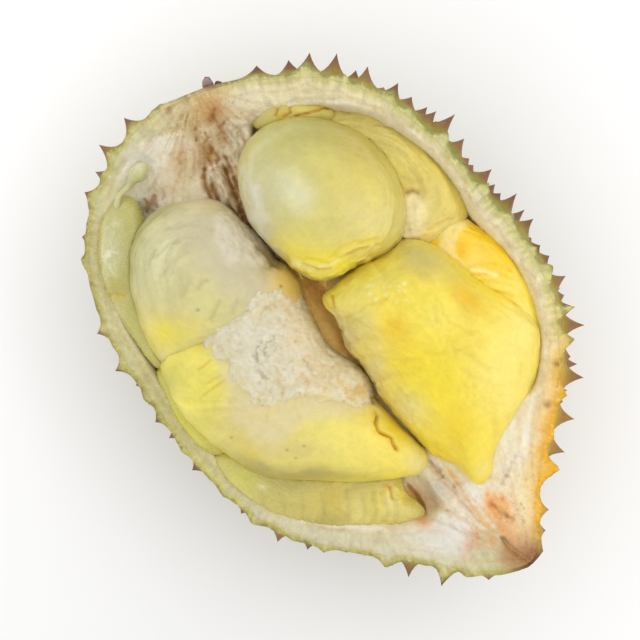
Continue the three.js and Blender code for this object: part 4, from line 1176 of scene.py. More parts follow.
def pod_lower_right(ob):
    q = Pod(ob, "pod_lower_right", 5)
    U, V = q.U, q.V
    q.paint("#efd95c", [
        (420, 255, 34, 16, 25, "#cfc172", 0.95), (452, 275, 26, 14, 40, "#ddca5c", 0.8), (385, 275, 34, 18, -20, "#dccf66", 0.9),
        (350, 292, 28, 14, -10, "#e3d878", 0.9), (360, 325, 22, 22, 0, "#dfd286", 0.9), (345, 345, 12, 22, 0, "#ddcd92", 0.9),
        (375, 370, 14, 26, 0, "#dccf94", 0.9), (395, 330, 14, 12, 0, "#e9c23e", 0.85), (430, 310, 26, 22, 0, "#eedd62", 0.7),
        (466, 300, 12, 18, -30, "#e8be38", 0.8), (410, 360, 24, 20, 20, "#ecd24c", 0.8), (440, 380, 34, 34, 0, "#f1dc4c", 0.9),
        (500, 360, 30, 40, 0, "#f7e378", 0.9), (525, 330, 20, 40, 0, "#f9e68c", 0.8), (470, 345, 26, 20, 30, "#eed75e", 0.7),
        (515, 400, 26, 26, 0, "#f7e27c", 0.9), (462, 430, 24, 30, 0, "#edd144", 0.9), (490, 440, 18, 24, 0, "#f5e064", 0.8),
        (482, 470, 16, 16, 0, "#f0dc5c", 0.8), (410, 410, 14, 20, -30, "#e5d888", 0.8), (440, 455, 16, 12, 40, "#e9cf50", 0.8)])
    sweep = 0.5 + 0.5 * np.tanh((V - 300) / 60)
    fan = np.stack([q.share * 6, q.angle * 3.0, q.p[:, 2] / 40], -1)
    q.d += (0.9 * fbm(fan * 1.6, 3, 17) + 0.3 * fbm(fan * 5.0, 2, 18)) * q.up
    # shallow creases from the left edge towards the middle
    for pts_, wd, dep in (
            ([(342, 322), (356, 312), (372, 303), (392, 298)], 2.2, 1.0), ([(338, 333), (352, 322), (366, 315)], 1.8, 0.6), ([(345, 345), (362, 338), (380, 335)], 2.4, 0.5),
            ([(352, 362), (366, 356), (384, 352), (404, 350)], 2.6, 0.6), ([(370, 385), (386, 377), (402, 372)], 2.4, 0.6), ([(384, 410), (400, 398), (420, 392)], 2.6, 0.5),
            ([(440, 312), (448, 322), (462, 330), (476, 336)], 2.4, 0.8), ([(448, 350), (462, 352), (478, 362), (490, 376)], 2.6, 0.7),
            ([(462, 366), (472, 380), (476, 398)], 2.4, 0.5), ([(432, 330), (436, 318), (432, 306)], 2.0, 0.5), ([(495, 400), (493, 420), (498, 440)], 3.0, 0.6),
            ([(386, 268), (402, 266), (418, 272), (438, 284)], 2.6, 0.5), ([(452, 292), (462, 302), (470, 314)], 3.0, 0.8)):
        q.line(pts_, wd, dep, "#d9c55c", 0.2)
    q.c = airbrush(q.c, q.wu, q.wv, [(424, 258, 30, 13, 25, "#bfb06c", 0.6), (470, 300, 22, 9, 40, "#e9b93a", 0.5), (500, 372, 26, 40, 0, "#f8e68c", 0.5), (485, 470, 9, 9, 0, "#f4e488", 0.8),
                                     (400, 405, 12, 18, -30, "#e3d596", 0.6), (440, 318, 22, 14, 0, "#f4e47c", 0.5)])
    q.flow(0.55, 5.5, 1.6, turn=1, where=np.clip(0.35 + 0.9 * blob(U, V, 375, 335, 60, 70) + 0.6 * blob(U, V, 500, 400, 40, 60), 0, 1), tone=0.05)
    q.line([(331, 293), (333, 302), (334, 310)], 1.0, 0.8, "#c9922c", 0.8)
    q.line([(344, 268), (356, 262), (372, 256)], 1.3, 1.0, "#a98434", 0.5)
    q.line([(500, 300), (512, 318), (520, 345), (524, 372), (516, 396)], 4.0, 0.7)
    # pale, a little chewed left edge
    edge = stroke(q.wu, q.wv, [(334, 300), (338, 320), (342, 336), (342, 352), (356, 368), (372, 385), (384, 402)], 7.5)
    q.tint("#e2d39c", 0.7 * edge)
    q.rough += 0.6 * edge
    q.d += edge * (1.0 * rough_skin(q.p, 19, 2.6)) - 1.5 * edge * sstep(0.2, -0.6, vnoise(q.p / 4.5, 23))
    for k in range(26):
        q.tint("#f8f4d6", 0.5 * blob(U, V, 362 + 50 * hash01(k, 5), 284 + 24 * hash01(k, 6) - 6 * hash01(k, 7), 0.9 + 0.6 * hash01(k, 8)))
    q.done()


def pod_left_upper(ob):
    q = Pod(ob, "pod_left_upper", 6)
    U, V = q.U, q.V
    # the paler patch at (152, 262) is partly the flesh's own colour and partly painted highlight
    q.paint("#d2ca96", [
        (150, 215, 24, 24, -30, "#bdb888", 0.9), (180, 205, 30, 14, 10, "#c9c186", 0.8), (215, 205, 26, 14, 30, "#cfc18c", 0.8),
        (134, 260, 14, 50, 0, "#b9b474", 0.9), (152, 262, 22, 40, 10, "#d0cc9c", 0.8), (195, 232, 30, 16, 10, "#c9bd98", 0.85),
        (215, 265, 34, 22, 0, "#d3cba0", 0.8), (245, 270, 30, 30, 0, "#cdc3a0", 0.9), (280, 290, 16, 30, -10, "#e2c778", 0.95),
        (292, 300, 8, 22, -10, "#d9ab56", 0.7), (205, 300, 30, 20, 0, "#dcd494", 0.8), (140, 320, 12, 30, 0, "#c2b873", 0.9),
        (165, 335, 24, 20, 10, "#ead95e", 0.98), (190, 330, 20, 14, -20, "#e4d774", 0.7), (230, 300, 24, 18, 0, "#d9d092", 0.7), (150, 350, 10, 14, 0, "#cfc05c", 0.8)])
    # the pale patch at (165, 252) is a painted highlight
    q.c = airbrush(q.c, q.wu, q.wv, [(134, 236, 10, 34, 8, "#a9a568", 0.6), (162, 212, 20, 9, -20, "#a8a470", 0.5), (165, 252, 16, 30, 25, "#d9d6b2", 0.5)])
    q.flow(0.9, 11, 1.0, where=np.clip(blob(U, V, 165, 250, 60, 66), 0, 1), tone=0.11)
    q.flow(0.35, 7, 1.3, where=np.clip(blob(U, V, 200, 320, 50, 40), 0, 1), tone=0.05)
    for pts_, wd, dep in (
            ([(160, 232), (180, 226), (200, 226), (222, 232)], 2.2, 0.7), ([(150, 262), (168, 246), (188, 238), (206, 240)], 2.2, 0.8), ([(158, 280), (172, 262), (190, 250)], 2.2, 0.7),
            ([(196, 290), (202, 282), (210, 280)], 2.2, 1.0), ([(210, 322), (216, 308), (220, 298)], 1.5, 0.7), ([(232, 316), (236, 304), (238, 298)], 1.5, 0.6),
            ([(180, 300), (186, 286), (192, 280)], 2.4, 0.6), ([(255, 262), (268, 268), (276, 262)], 2.4, 0.9)):
        q.line(pts_, wd, dep, "#b9b07e", 0.25)
    # crumbly white pith stuck to it
    crust = area_of(q.wu, q.wv, [(214, 220), (228, 214), (244, 226), (262, 240), (270, 256), (262, 264), (246, 262), (230, 266), (220, 256), (214, 240)], 6)
    film = area_of(q.wu, q.wv, [(176, 214), (214, 208), (250, 226), (276, 262), (274, 300), (256, 316), (236, 306), (214, 286), (196, 262), (178, 240)], 14)
    q.tint("#cdc3a6", 0.6 * film)
    flake = rough_skin(q.p, 21, 2.8)
    q.tint("#ddd5bf", 0.85 * crust)
    # darker in the crust's low places: partly its own colour, partly painted shade
    q.tint("#b3a684", 0.45 * crust * sstep(-0.05, -0.4, flake))
    q.rough += 0.5 * film + 0.8 * crust
    q.d += crust * (0.9 + 1.6 * flake) + 0.5 * film * rough_skin(q.p, 25, 3.5)
    edge = stroke(q.wu, q.wv, [(214, 202), (232, 218), (250, 236), (264, 252), (280, 266)], 7)
    q.d += 0.9 * edge * rough_skin(q.p, 26, 2.2)
    q.tint("#c9b48a", 0.4 * edge)
    top = stroke(q.wu, q.wv, [(180, 212), (200, 205), (214, 200), (230, 212), (250, 230)], 6)
    q.tint("#ddd3b0", 0.6 * top)
    q.line([(252, 246), (262, 254), (272, 262), (282, 272)], 2.2, 0.8, "#8e7340", 0.5)
    bulge = area_of(q.wu, q.wv, [(272, 272), (286, 262), (298, 284), (302, 310), (288, 316), (272, 312), (268, 290)], 5)
    q.d += 1.4 * bulge
    q.tint("#e4c87c", 0.6 * bulge)
    q.tint("#7a5a22", 0.8 * blob(U, V, 279, 287, 1.4))
    q.tint("#5f4a26", 0.9 * blob(U, V, 198, 310, 1.3))
    # downward-facing flesh beside the gap is tinted dark brown: painted shade
    underside_shade = sstep(0.15, -0.4, q.n[:, 2]) * sstep(270, 290, U)
    q.tint("#8e6628", 0.8 * underside_shade)
    q.done()


def pod_left_lower(ob):
    q = Pod(ob, "pod_left_lower", 7)
    U, V = q.U, q.V
    # the thin darker bands along the lower edge, near (255, 470), (310, 475) and (360, 482), are painted shade
    q.paint("#e4d670", [
        (165, 372, 14, 18, 30, "#d9cf60", 0.9), (190, 360, 24, 20, 20, "#e9de78", 0.8), (200, 400, 22, 26, 20, "#e9df70", 0.8),
        (196, 430, 16, 18, 40, "#dbd062", 0.9), (240, 420, 26, 24, 0, "#d9ca92", 0.8), (260, 450, 26, 16, 20, "#d7c678", 0.9),
        (255, 470, 30, 9, 15, "#bcae66", 0.7), (220, 455, 20, 8, 40, "#c9bb5c", 0.7), (300, 430, 40, 24, 0, "#ddd088", 0.8),
        (250, 455, 10, 8, 0, "#e2c95c", 0.6), (330, 440, 40, 26, 10, "#efe080", 0.9), (380, 440, 28, 30, 30, "#f6e378", 0.95),
        (400, 470, 26, 14, 0, "#f0dd68", 0.9), (310, 475, 34, 9, 0, "#cdbd62", 0.7), (360, 482, 30, 8, 5, "#dccb5c", 0.7),
        (340, 405, 30, 12, 10, "#e6cf8a", 0.8), (350, 385, 26, 10, 20, "#dfcca0", 0.8), (395, 430, 9, 16, -35, "#f2d84c", 0.7)])
    # pleats that run down to the outer edge
    fan = ridged(q.angle * 13 + 0.5 * fbm(q.p / 14, 2, 9))
    zone = np.clip(blob(U, V, 195, 400, 48, 60) + blob(U, V, 280, 455, 60, 30) * 0.5, 0, 1) * sstep(0.3, 0.65, q.share)
    # the darker bands at (300, 474), (250, 464) and (300, 450), toward the lower edge, are painted shade
    q.c = airbrush(q.c, q.wu, q.wv, [(300, 474, 60, 7, 2, "#a2955a", 0.8), (250, 464, 24, 7, 30, "#ab9d58", 0.7), (168, 382, 12, 16, 30, "#b9b458", 0.6), (300, 450, 26, 12, 0, "#cfc084", 0.6)])
    q.flow(0.7, 7, 1.2, turn=1, where=np.clip(blob(U, V, 200, 400, 60, 66) + 0.5 * blob(U, V, 380, 450, 60, 30), 0, 1), tone=0.06)
    for pts_, wd, dep in (
            ([(158, 366), (168, 354), (182, 344), (200, 334)], 1.8, 1.2), ([(196, 370), (204, 366), (212, 358)], 1.5, 0.7), ([(200, 398), (216, 386), (228, 378)], 1.5, 0.6),
            ([(228, 404), (234, 398), (238, 394)], 1.5, 0.8), ([(206, 384), (222, 374)], 1.3, 0.5), ([(262, 425), (270, 408), (276, 398)], 1.6, 0.6)):
        q.line(pts_, 0.7 * wd, dep, "#e0b43c", 0.45, 1.1)
    # the chalky film round the crust of pith
    pale = area_of(q.wu, q.wv, [(206, 344), (250, 322), (310, 310), (346, 366), (378, 376), (384, 394), (372, 406), (340, 414), (300, 422), (272, 448), (254, 440), (232, 404), (216, 366)], 12)
    flakes = rough_skin(q.p, 31, 3.0)
    q.tint("#dfd3ac", 0.75 * pale)
    q.tint("#e3d29a", 0.5 * pale * sstep(0.0, 0.5, fbm(q.p / 7, 3, 33)))
    q.rough += 0.8 * pale
    q.d += pale * 0.7 * flakes
    end_ = area_of(q.wu, q.wv, [(332, 362), (352, 364), (368, 376), (376, 392), (370, 406), (348, 410), (330, 404)], 6)
    q.tint("#dccb98", 0.8 * end_)
    q.d += end_ * 1.0 * rough_skin(q.p, 34, 2.4)
    # darker in the patch's low places: partly its own colour, partly painted shade
    q.tint("#b39a5e", 0.5 * end_ * sstep(-0.1, -0.5, rough_skin(q.p, 34, 2.4)))
    # the deep split with orange lips, near the lower end
    q.line([(375, 408), (378, 415), (376, 423), (379, 431), (386, 434), (392, 437), (394, 445), (400, 453)], 1.25, 3.4, "#8f5c18", 0.95, 0.9)
    q.tint("#e9b93c", 0.5 * stroke(U, V, [(374, 408), (376, 430), (390, 439), (400, 454)], 4.2))
    q.line([(374, 384), (371, 394), (374, 406)], 1.8, 2.0, "#a5844a", 0.5)
    lip = stroke(q.wu, q.wv, [(384, 398), (396, 412), (410, 428), (422, 444)], 6)
    q.tint("#f0d98a", 0.6 * lip)
    end = blob(q.wu, q.wv, 420, 462, 14, 16)
    q.tint("#efe0a4", 0.7 * end)
    q.rough += 0.5 * end
    q.d += 0.8 * end * rough_skin(q.p, 37, 3)
    for u, v in ((231, 438), (287, 450), (304, 446), (296, 458)):
        q.tint("#8c7436", 0.7 * blob(U, V, u, v, 1.3))
    # downward-facing flesh beside the gap is tinted dark brown: painted shade
    underside_shade = sstep(0.15, -0.4, q.n[:, 2]) * sstep(300, 320, U) * sstep(430, 400, V)
    q.tint("#95702f", 0.8 * underside_shade)
    q.done()


def pod_bottom_left(ob):
    q = Pod(ob, "pod_bottom_left", 8)
    U, V = q.U, q.V
    # the thin darker band at (290, 485), under the lower edge of the pod above, is painted shade
    q.paint("#cfc474", [
        (245, 475, 18, 16, 40, "#cfca68", 0.9), (270, 500, 24, 12, 25, "#c3b96c", 0.9), (300, 510, 24, 12, 10, "#c9bb68", 0.8), (335, 500, 24, 20, 0, "#cfba5c", 0.9),
        (330, 520, 26, 8, 0, "#b5a557", 0.8), (360, 510, 12, 20, 0, "#d9cc7c", 0.8), (380, 500, 12, 20, 0, "#dccb5c", 0.8), (395, 495, 12, 14, 0, "#ecd65e", 0.9),
        (410, 520, 18, 10, 0, "#d9cb74", 0.9), (290, 485, 26, 7, 0, "#b9ad62", 0.8), (390, 502, 10, 12, 0, "#f2e49a", 0.8), (388, 485, 6, 4, 0, "#dca53a", 0.7)])
    for k, (u, dep) in enumerate(((262, 0.6), (282, 0.5), (302, 0.7), (322, 0.5), (347, 0.8), (362, 0.6), (374, 0.9), (384, 0.8), (396, 0.7))):
        q.line([(u - 2, 488), (u, 500), (u + 1 + 2 * (k % 2), 514), (u - 1, 526)], 2.2, dep, "#b9a956", 0.25)
    q.flow(0.5, 6, 1.2, turn=1, tone=0.06)
    torn = blob(q.wu, q.wv, 402, 498, 14, 22)
    q.d += torn * 0.9 * rough_skin(q.p, 30, 2.6)
    q.line([(390, 486), (392, 494), (393, 500)], 1.2, 1.2, "#d09228", 0.7, 1.1)
    # a small painted highlight
    q.tint("#f2eecb", 0.5 * blob(U, V, 262, 487, 5, 2.4, 20))
    q.done()


def pod_left_edge(ob):
    q = Pod(ob, "pod_left_edge", 9)
    U, V = q.U, q.V
    # the pale patch at (112, 250) is painted highlight
    q.paint("#bdb770", [
        (110, 210, 14, 20, 0, "#b9b374", 0.9), (122, 200, 12, 10, 0, "#cdc784", 0.8), (112, 250, 12, 26, 0, "#c8c59a", 0.85), (112, 290, 12, 12, 0, "#b6a958", 0.9),
        (112, 310, 12, 10, 0, "#c3bd88", 0.8), (124, 335, 12, 20, 20, "#bdb560", 0.9), (140, 370, 14, 20, 30, "#cbc658", 0.9)])
    bulge_with_painted_highlight = blob(U, V, 112, 250, 14, 32)
    q.d += 0.9 * bulge_with_painted_highlight + 0.7 * bulge_with_painted_highlight * fbm(np.stack([q.p[:, 0] / 2.6, q.p[:, 1] / 7, q.p[:, 2] / 4], -1), 3, 43)
    # near-white speckles over the bulge: a painted highlight
    q.tint("#eeedda", 0.75 * bulge_with_painted_highlight * sstep(0.05, 0.35, fbm(q.p / 2.4, 3, 44)) * blob(U, V, 114, 252, 9, 30))
    q.tint("#b5a754", 0.6 * stroke(U, V, [(100, 232), (97, 250), (101, 280), (110, 300)], 3.0))
    q.line([(98, 297), (108, 296), (120, 294), (128, 296)], 1.6, 1.0, "#c9b03e", 0.7)
    q.done()


def pod_left_low_edge(ob):
    q = Pod(ob, "pod_left_low_edge", 10)
    U, V = q.U, q.V
    q.paint("#c9c25c", [
        (170, 395, 12, 16, 30, "#c3bc68", 0.8), (180, 420, 12, 16, 30, "#cdc64c", 0.95), (200, 440, 14, 12, 40, "#d2cb5c", 0.8), (215, 455, 16, 8, 30, "#bdb35c", 0.8), (230, 465, 10, 6, 30, "#c6bb60", 0.8)])
    q.line([(226, 458), (236, 462), (246, 466)], 1.8, 0.9, "#a89c4c", 0.5)
    q.done()


POD_MAKERS = dict(
    pod_upper_centre=pod_upper_centre, pod_lower_right=pod_lower_right, pod_left_upper=pod_left_upper, pod_left_lower=pod_left_lower,
    pod_upper_right=pod_upper_right, pod_right_edge=pod_right_edge, pod_upper_end=pod_upper_end, pod_bottom_left=pod_bottom_left,
    pod_left_edge=pod_left_edge, pod_left_low_edge=pod_left_low_edge)
SLOT_OF = dict(
    pod_upper_centre="khaki_flesh", pod_upper_right="olive_flesh", pod_upper_end="olive_flesh", pod_lower_right="yellow_flesh", pod_left_upper="pale_flesh",
    pod_left_lower="pithy_flesh", pod_right_edge="golden_flesh", pod_bottom_left="glossy_flesh", pod_left_edge="glossy_flesh", pod_left_low_edge="glossy_flesh")


# ---------------------------------------------------------------- colour of the husk
def cut_contour(rind):
    """The outer edge of the cut, as points in plan."""
    p, n = coords(rind), vnormals(rind)
    on = np.abs(p[:, 2] - pith_level(p[:, 0], p[:, 1])) < 0.08
    e = np.empty(len(rind.data.edges) * 2, np.int32)
    rind.data.edges.foreach_get("vertices", e)
    e = e.reshape(-1, 2)
    e = np.concatenate([e, e[:, ::-1]])
    e = e[on[e[:, 0]] & ~on[e[:, 1]]]
    away = n[e[:, 1], 0] * (p[e[:, 1], 0] - 10) / 140 + n[e[:, 1], 1] * (p[e[:, 1], 1] - 5) / 95
    return p[np.unique(e[away > 0.15, 0]), :2]


def cut_tone(p, edge):
    """Colour of the cut rim by its depth from the outer skin."""
    x, y = p[:, 0], p[:, 1]
    U, V = places(p)
    psi, phi = inverse_skin(x, y, p[:, 2])
    sr, sa = radial(x, y, np.array([10.0, 0.0]))
    fib = fbm(np.stack([sa * 62, sr / 9, p[:, 2] / 5], -1), 3, 74)
    e = edge + 0.9 * fbm(p / 2.2, 3, 75) + 0.8 * fib
    end = np.clip(1.15 * blob(U, V, 562, 430, 30, 84) + 1.1 * blob(U, V, 548, 500, 28, 60), 0, 1)
    stem = blob(U, V, 190, 96, 60, 40)
    right = sstep(-10, 40, y)
    bottom = sstep(20, 60, x) * sstep(0, -30, y)
    # towards the high side the cut is paler: partly its own colour, partly a painted lighting gradient
    inner = mix(np.tile(hexlin("#c9c499"), (len(p), 1)), hexlin("#e2d8b0"), right)
    inner = mix(inner, hexlin("#d4cdaa"), bottom)
    inner = mix(inner, hexlin("#ecc05c"), 0.8 * end)
    green = mix(np.tile(hexlin("#c0b46c"), (len(p), 1)), hexlin("#cdc684"), right)
    green = mix(green, hexlin("#d0c672"), sstep(-20, 10, x) * sstep(70, 40, x) * sstep(-40, -60, y))
    green = mix(green, hexlin("#efb21c"), 0.95 * end)
    green = mix(green, hexlin("#cfc092"), 0.7 * stem)
    rimline = mix(np.tile(hexlin("#8b8c3c"), (len(p), 1)), hexlin("#8f7a3a"), np.clip(stem + 0.6 * fbm(p / 5, 3, 79), 0, 1))
    rimline = mix(rimline, hexlin("#d89a30"), 0.8 * end)
    wide = lerp(4.6, 6.4, right)
    tone = mix(inner, green, sstep(wide, wide * 0.35, e))
    tone = mix(tone, hexlin("#d2b27c"), 0.55 * np.exp(-((edge - 7.4 + 0.7 * fbm(p / 12, 2, 84)) / 0.5) ** 2) * sstep(-30, 20, y) * sstep(0.75, 0.3, end))
    tone = mix(tone, rimline, 0.8 * sstep(1.5, 0.2, e + 0.5 * fbm(p / 4, 2, 85)))
    speck = sstep(0.25, 0.55, fbm(p / 1.1, 3, 83)) * sstep(wide * 1.5, 0.4, e)
    tone = mix(tone, hexlin("#e4dfae"), 0.5 * speck)
    return tone * (1 + 0.17 * fib)[:, None]


def paint_pith(ob, contour):
    p, n = coords(ob), vnormals(ob)
    U, V = places(p)
    x, y = p[:, 0], p[:, 1]
    d, floor = chamber(x, y)
    rim = rim_z_flat(x, y)
    wu, wv = U + 6 * fbm(p / 8, 3, 60), V + 6 * fbm(p / 8, 3, 66)
    sunk = rim - p[:, 2]
    tone = np.tile(hexlin("#ece3cb"), (len(p), 1))
    band = sstep(1.0, -3.0, d + 1.4 * fbm(p / 3, 2, 71))
    edge = near_distance(x, y, contour)
    tone = mix(tone, cut_tone(p, edge), band)
    tone = mix(tone, hexlin("#c2a86e"), 0.5 * np.exp(-((d + 1.2 + 0.8 * fbm(p / 5, 2, 76)) / 1.0) ** 2) * sstep(0.2, -0.4, fbm(p / 9, 2, 77) - 0.15))
    # the grey patches at (142, 212) and (148, 204) are painted shade in the hollow by the small pod
    tone = airbrush(tone, wu, wv, [
        (205, 110, 26, 16, -30, "#c9a468", 0.85), (216, 116, 14, 12, 0, "#b07a3c", 0.85), (190, 130, 20, 12, 0, "#c9b27c", 0.7), (226, 140, 14, 16, 0, "#c6bb97", 0.7),
        (184, 168, 18, 24, 30, "#cdb684", 0.8), (170, 190, 16, 10, 0, "#d0b98c", 0.6), (142, 160, 16, 14, 0, "#d9d5c6", 0.9), (205, 152, 12, 14, 0, "#b0874c", 0.8), (204, 150, 6, 7, 0, "#93693a", 0.6), (222, 138, 9, 9, 0, "#b3935f", 0.7),
        (235, 180, 8, 26, -25, "#c4b08a", 0.6), (142, 212, 16, 15, 0, "#b5ae98", 0.95), (148, 204, 8, 8, 0, "#97907c", 0.7), (120, 195, 10, 12, 0, "#cfc890", 0.6),
        (245, 100, 20, 8, -20, "#e2d8bc", 0.8), (150, 190, 20, 10, 0, "#cfc6ae", 0.6), (245, 245, 10, 14, 0, "#b9a47c", 0.5),
        (500, 500, 34, 26, 40, "#eed9b4", 0.8), (498, 506, 16, 12, 20, "#f0ae5a", 0.85), (470, 540, 15, 13, 0, "#cf9850", 0.85), (515, 540, 20, 16, 40, "#d09c64", 0.8),
        (525, 560, 14, 12, 0, "#a97850", 0.95), (440, 535, 34, 14, 0, "#dcd6c8", 0.9), (430, 492, 14, 14, 0, "#d8c6a0", 0.8), (414, 500, 11, 16, -30, "#e0a244", 0.95), (420, 520, 10, 8, 0, "#c98f4a", 0.7),
        (440, 490, 14, 12, 0, "#cfc8ba", 0.8), (470, 500, 12, 14, 0, "#dccab0", 0.8), (512, 440, 20, 44, 28, "#f8f3e6", 0.95), (540, 410, 8, 30, 15, "#e6c87e", 0.6),
        (548, 445, 8, 40, 15, "#ecb042", 0.85), (545, 490, 8, 26, 10, "#eeb24a", 0.85), (528, 490, 12, 26, 0, "#ecd094", 0.7), (474, 490, 14, 12, 0, "#f2ece0", 0.9), (470, 522, 12, 10, 40, "#e4d0a8", 0.6),
        (320, 545, 60, 8, 5, "#cdc6ac", 0.6), (540, 340, 5, 60, 0, "#d8cfb4", 0.5)])
    for pts_, wd, hue, strength in (
            ([(441, 466), (452, 478), (463, 492), (472, 506), (482, 519), (494, 532)], 2.6, "#f0c070", 0.75),
            ([(428, 463), (444, 484), (462, 502), (478, 520), (500, 535)], 1.3, "#cf9a66", 0.6),
            ([(484, 488), (490, 500), (494, 512), (500, 524), (508, 538)], 4.5, "#f0a860", 0.75),
            ([(500, 490), (506, 504), (511, 520), (518, 534)], 3.2, "#f2b878", 0.6),
            ([(476, 526), (478, 534), (480, 542)], 2.0, "#e39a58", 0.7),
            ([(512, 536), (516, 548), (524, 556)], 2.2, "#e8a87c", 0.5),
            ([(500, 534), (510, 545), (520, 553), (533, 562)], 1.1, "#6f442c", 0.85),
            ([(505, 556), (514, 562), (526, 566)], 1.4, "#8a5f42", 0.5),
            ([(520, 392), (508, 410), (500, 424)], 1.6, "#e9b64c", 0.6)):
        tone = mix(tone, hexlin(hue), strength * stroke(wu * 0.5 + U * 0.5, wv * 0.5 + V * 0.5, pts_, wd))
    tone = airbrush(tone, wu * 0.6 + U * 0.4, wv * 0.6 + V * 0.4, [
        (468, 546, 6, 8, 20, "#d08a4c", 0.75), (491, 541, 4, 6, 0, "#dfa064", 0.6), (503, 499, 2.4, 2.4, 0, "#c9732c", 0.6), (505.5, 517, 3, 2.4, 0, "#b9622a", 0.7), (492, 504, 2.4, 3.4, 0, "#d8823c", 0.55),
        (471, 492, 8, 12, -35, "#fbf6ea", 0.85), (456, 530, 16, 20, 0, "#ecebe6", 0.75), (440, 548, 26, 8, 8, "#e4e2d8", 0.7), (508, 458, 9, 18, 20, "#efe9de", 0.8), (526, 412, 5, 20, 20, "#efe9dc", 0.8),
        (522, 498, 8, 26, 0, "#f2e2b8", 0.7), (517, 562, 16, 11, 25, "#a37c5a", 0.9), (535, 553, 9, 11, 0, "#8a5b45", 0.9), (508, 553, 6, 8, 0, "#b99068", 0.7)])
    # the brown deep gap between the halves
    gap = area_of(wu, wv, CENTRE_GAP, 8)
    tone = mix(tone, hexlin("#f6cc78"), 0.95 * gap)
    tone = mix(tone, hexlin("#cf9c4c"), 0.5 * gap * blob(U, V, 350, 340, 12, 26, 45))
    tone = mix(tone, hexlin("#e6b260"), 0.6 * gap * blob(U, V, 306, 292, 18, 20))
    tone = mix(tone, hexlin("#f4d890"), 0.7 * gap * sstep(0.05, 0.4, fbm(p / 4.5, 3, 73)) * blob(U, V, 362, 370, 26, 30))
    tone = mix(tone, hexlin("#e8c884"), 0.8 * area_of(wu, wv, [(326, 268), (345, 262), (375, 252), (404, 238), (404, 250), (372, 268), (345, 288)], 4))
    # floors lying deeper below the rim are painted a darker tan
    tone = mix(tone, hexlin("#c7ac74"), 0.5 * sstep(12, 30, sunk) * (1 - gap))
    run, across_ = 0.42 * (U - 220) + 0.91 * (V - 180), 0.91 * (U - 220) - 0.42 * (V - 180)
    torn = np.clip(blob(U, V, 222, 176, 15, 44, -24) + 0.8 * blob(U, V, 246, 226, 9, 34, -30), 0, 1)
    strand = fbm(np.stack([across_ / 3.0, run / 17, run * 0], -1), 3, 47)
    tone = mix(tone, hexlin("#b58a50"), 0.6 * torn * sstep(0.14, 0.36, np.abs(strand)))
    tone = mix(tone, hexlin("#e2cda6"), 0.6 * torn * sstep(0.10, 0.02, np.abs(strand)))
    for line, width, depth, brown in GROOVES:
        tone = mix(tone, hexlin("#b08a52"), np.clip(0.6 * brown * groove(x, y, line, width * 2.3), 0, 1))
        tone = mix(tone, hexlin("#9c6e34"), np.clip(0.9 * brown * groove(x, y, line, width * 1.1), 0, 1))
    speck = sstep(0.62, 0.8, vnoise(p / 1.3, 81)) * np.clip(blob(U, V, 205, 130, 50, 50) + blob(U, V, 510, 520, 50, 50), 0, 1)
    tone = mix(tone, hexlin("#94642f"), 0.45 * speck)
    for u, v, r in ((559, 364, 4), (547, 402, 4), (186, 98, 5), (170, 109, 4), (507, 474, 2), (452, 488, 2), (448, 512, 2)):
        tone = mix(tone, hexlin("#8a5a2a"), 0.7 * blob(wu, wv, u, v, r))
    # the low side's inner lip is yellower
    tone = mix(tone, hexlin("#d3c98e"), 0.65 * sstep(-4.5, -1.0, d) * sstep(4.0, 0.5, d) * sstep(-25, -45, y) * sstep(-118, -100, x) * sstep(75, 50, x))
    # streaks that run from the two ends
    tr, ta = radial(x, y, TIP)
    qr, qa = radial(x, y, STEM)
    f1 = fbm(np.stack([ta * 22, tr / 22, p[:, 2] * 0], -1), 3, 85) * np.exp(-(tr / 70) ** 2)
    f2 = fbm(np.stack([qa * 22, qr / 16, p[:, 2] * 0], -1), 3, 86) * np.exp(-(qr / 60) ** 2)
    tone = mix(tone, hexlin("#d39a5c"), np.clip(0.9 * f1, 0, 0.5))
    tone = mix(tone, hexlin("#b5834a"), np.clip(0.9 * f2, 0, 0.5))
    tone = tone * 1.12 * (1 + 0.10 * fbm(p / 2.4, 4, 88) + 0.05 * fbm(p / 9, 3, 89))[:, None]
    colour_attr(ob, "tint", np.clip(tone, 0, 1))


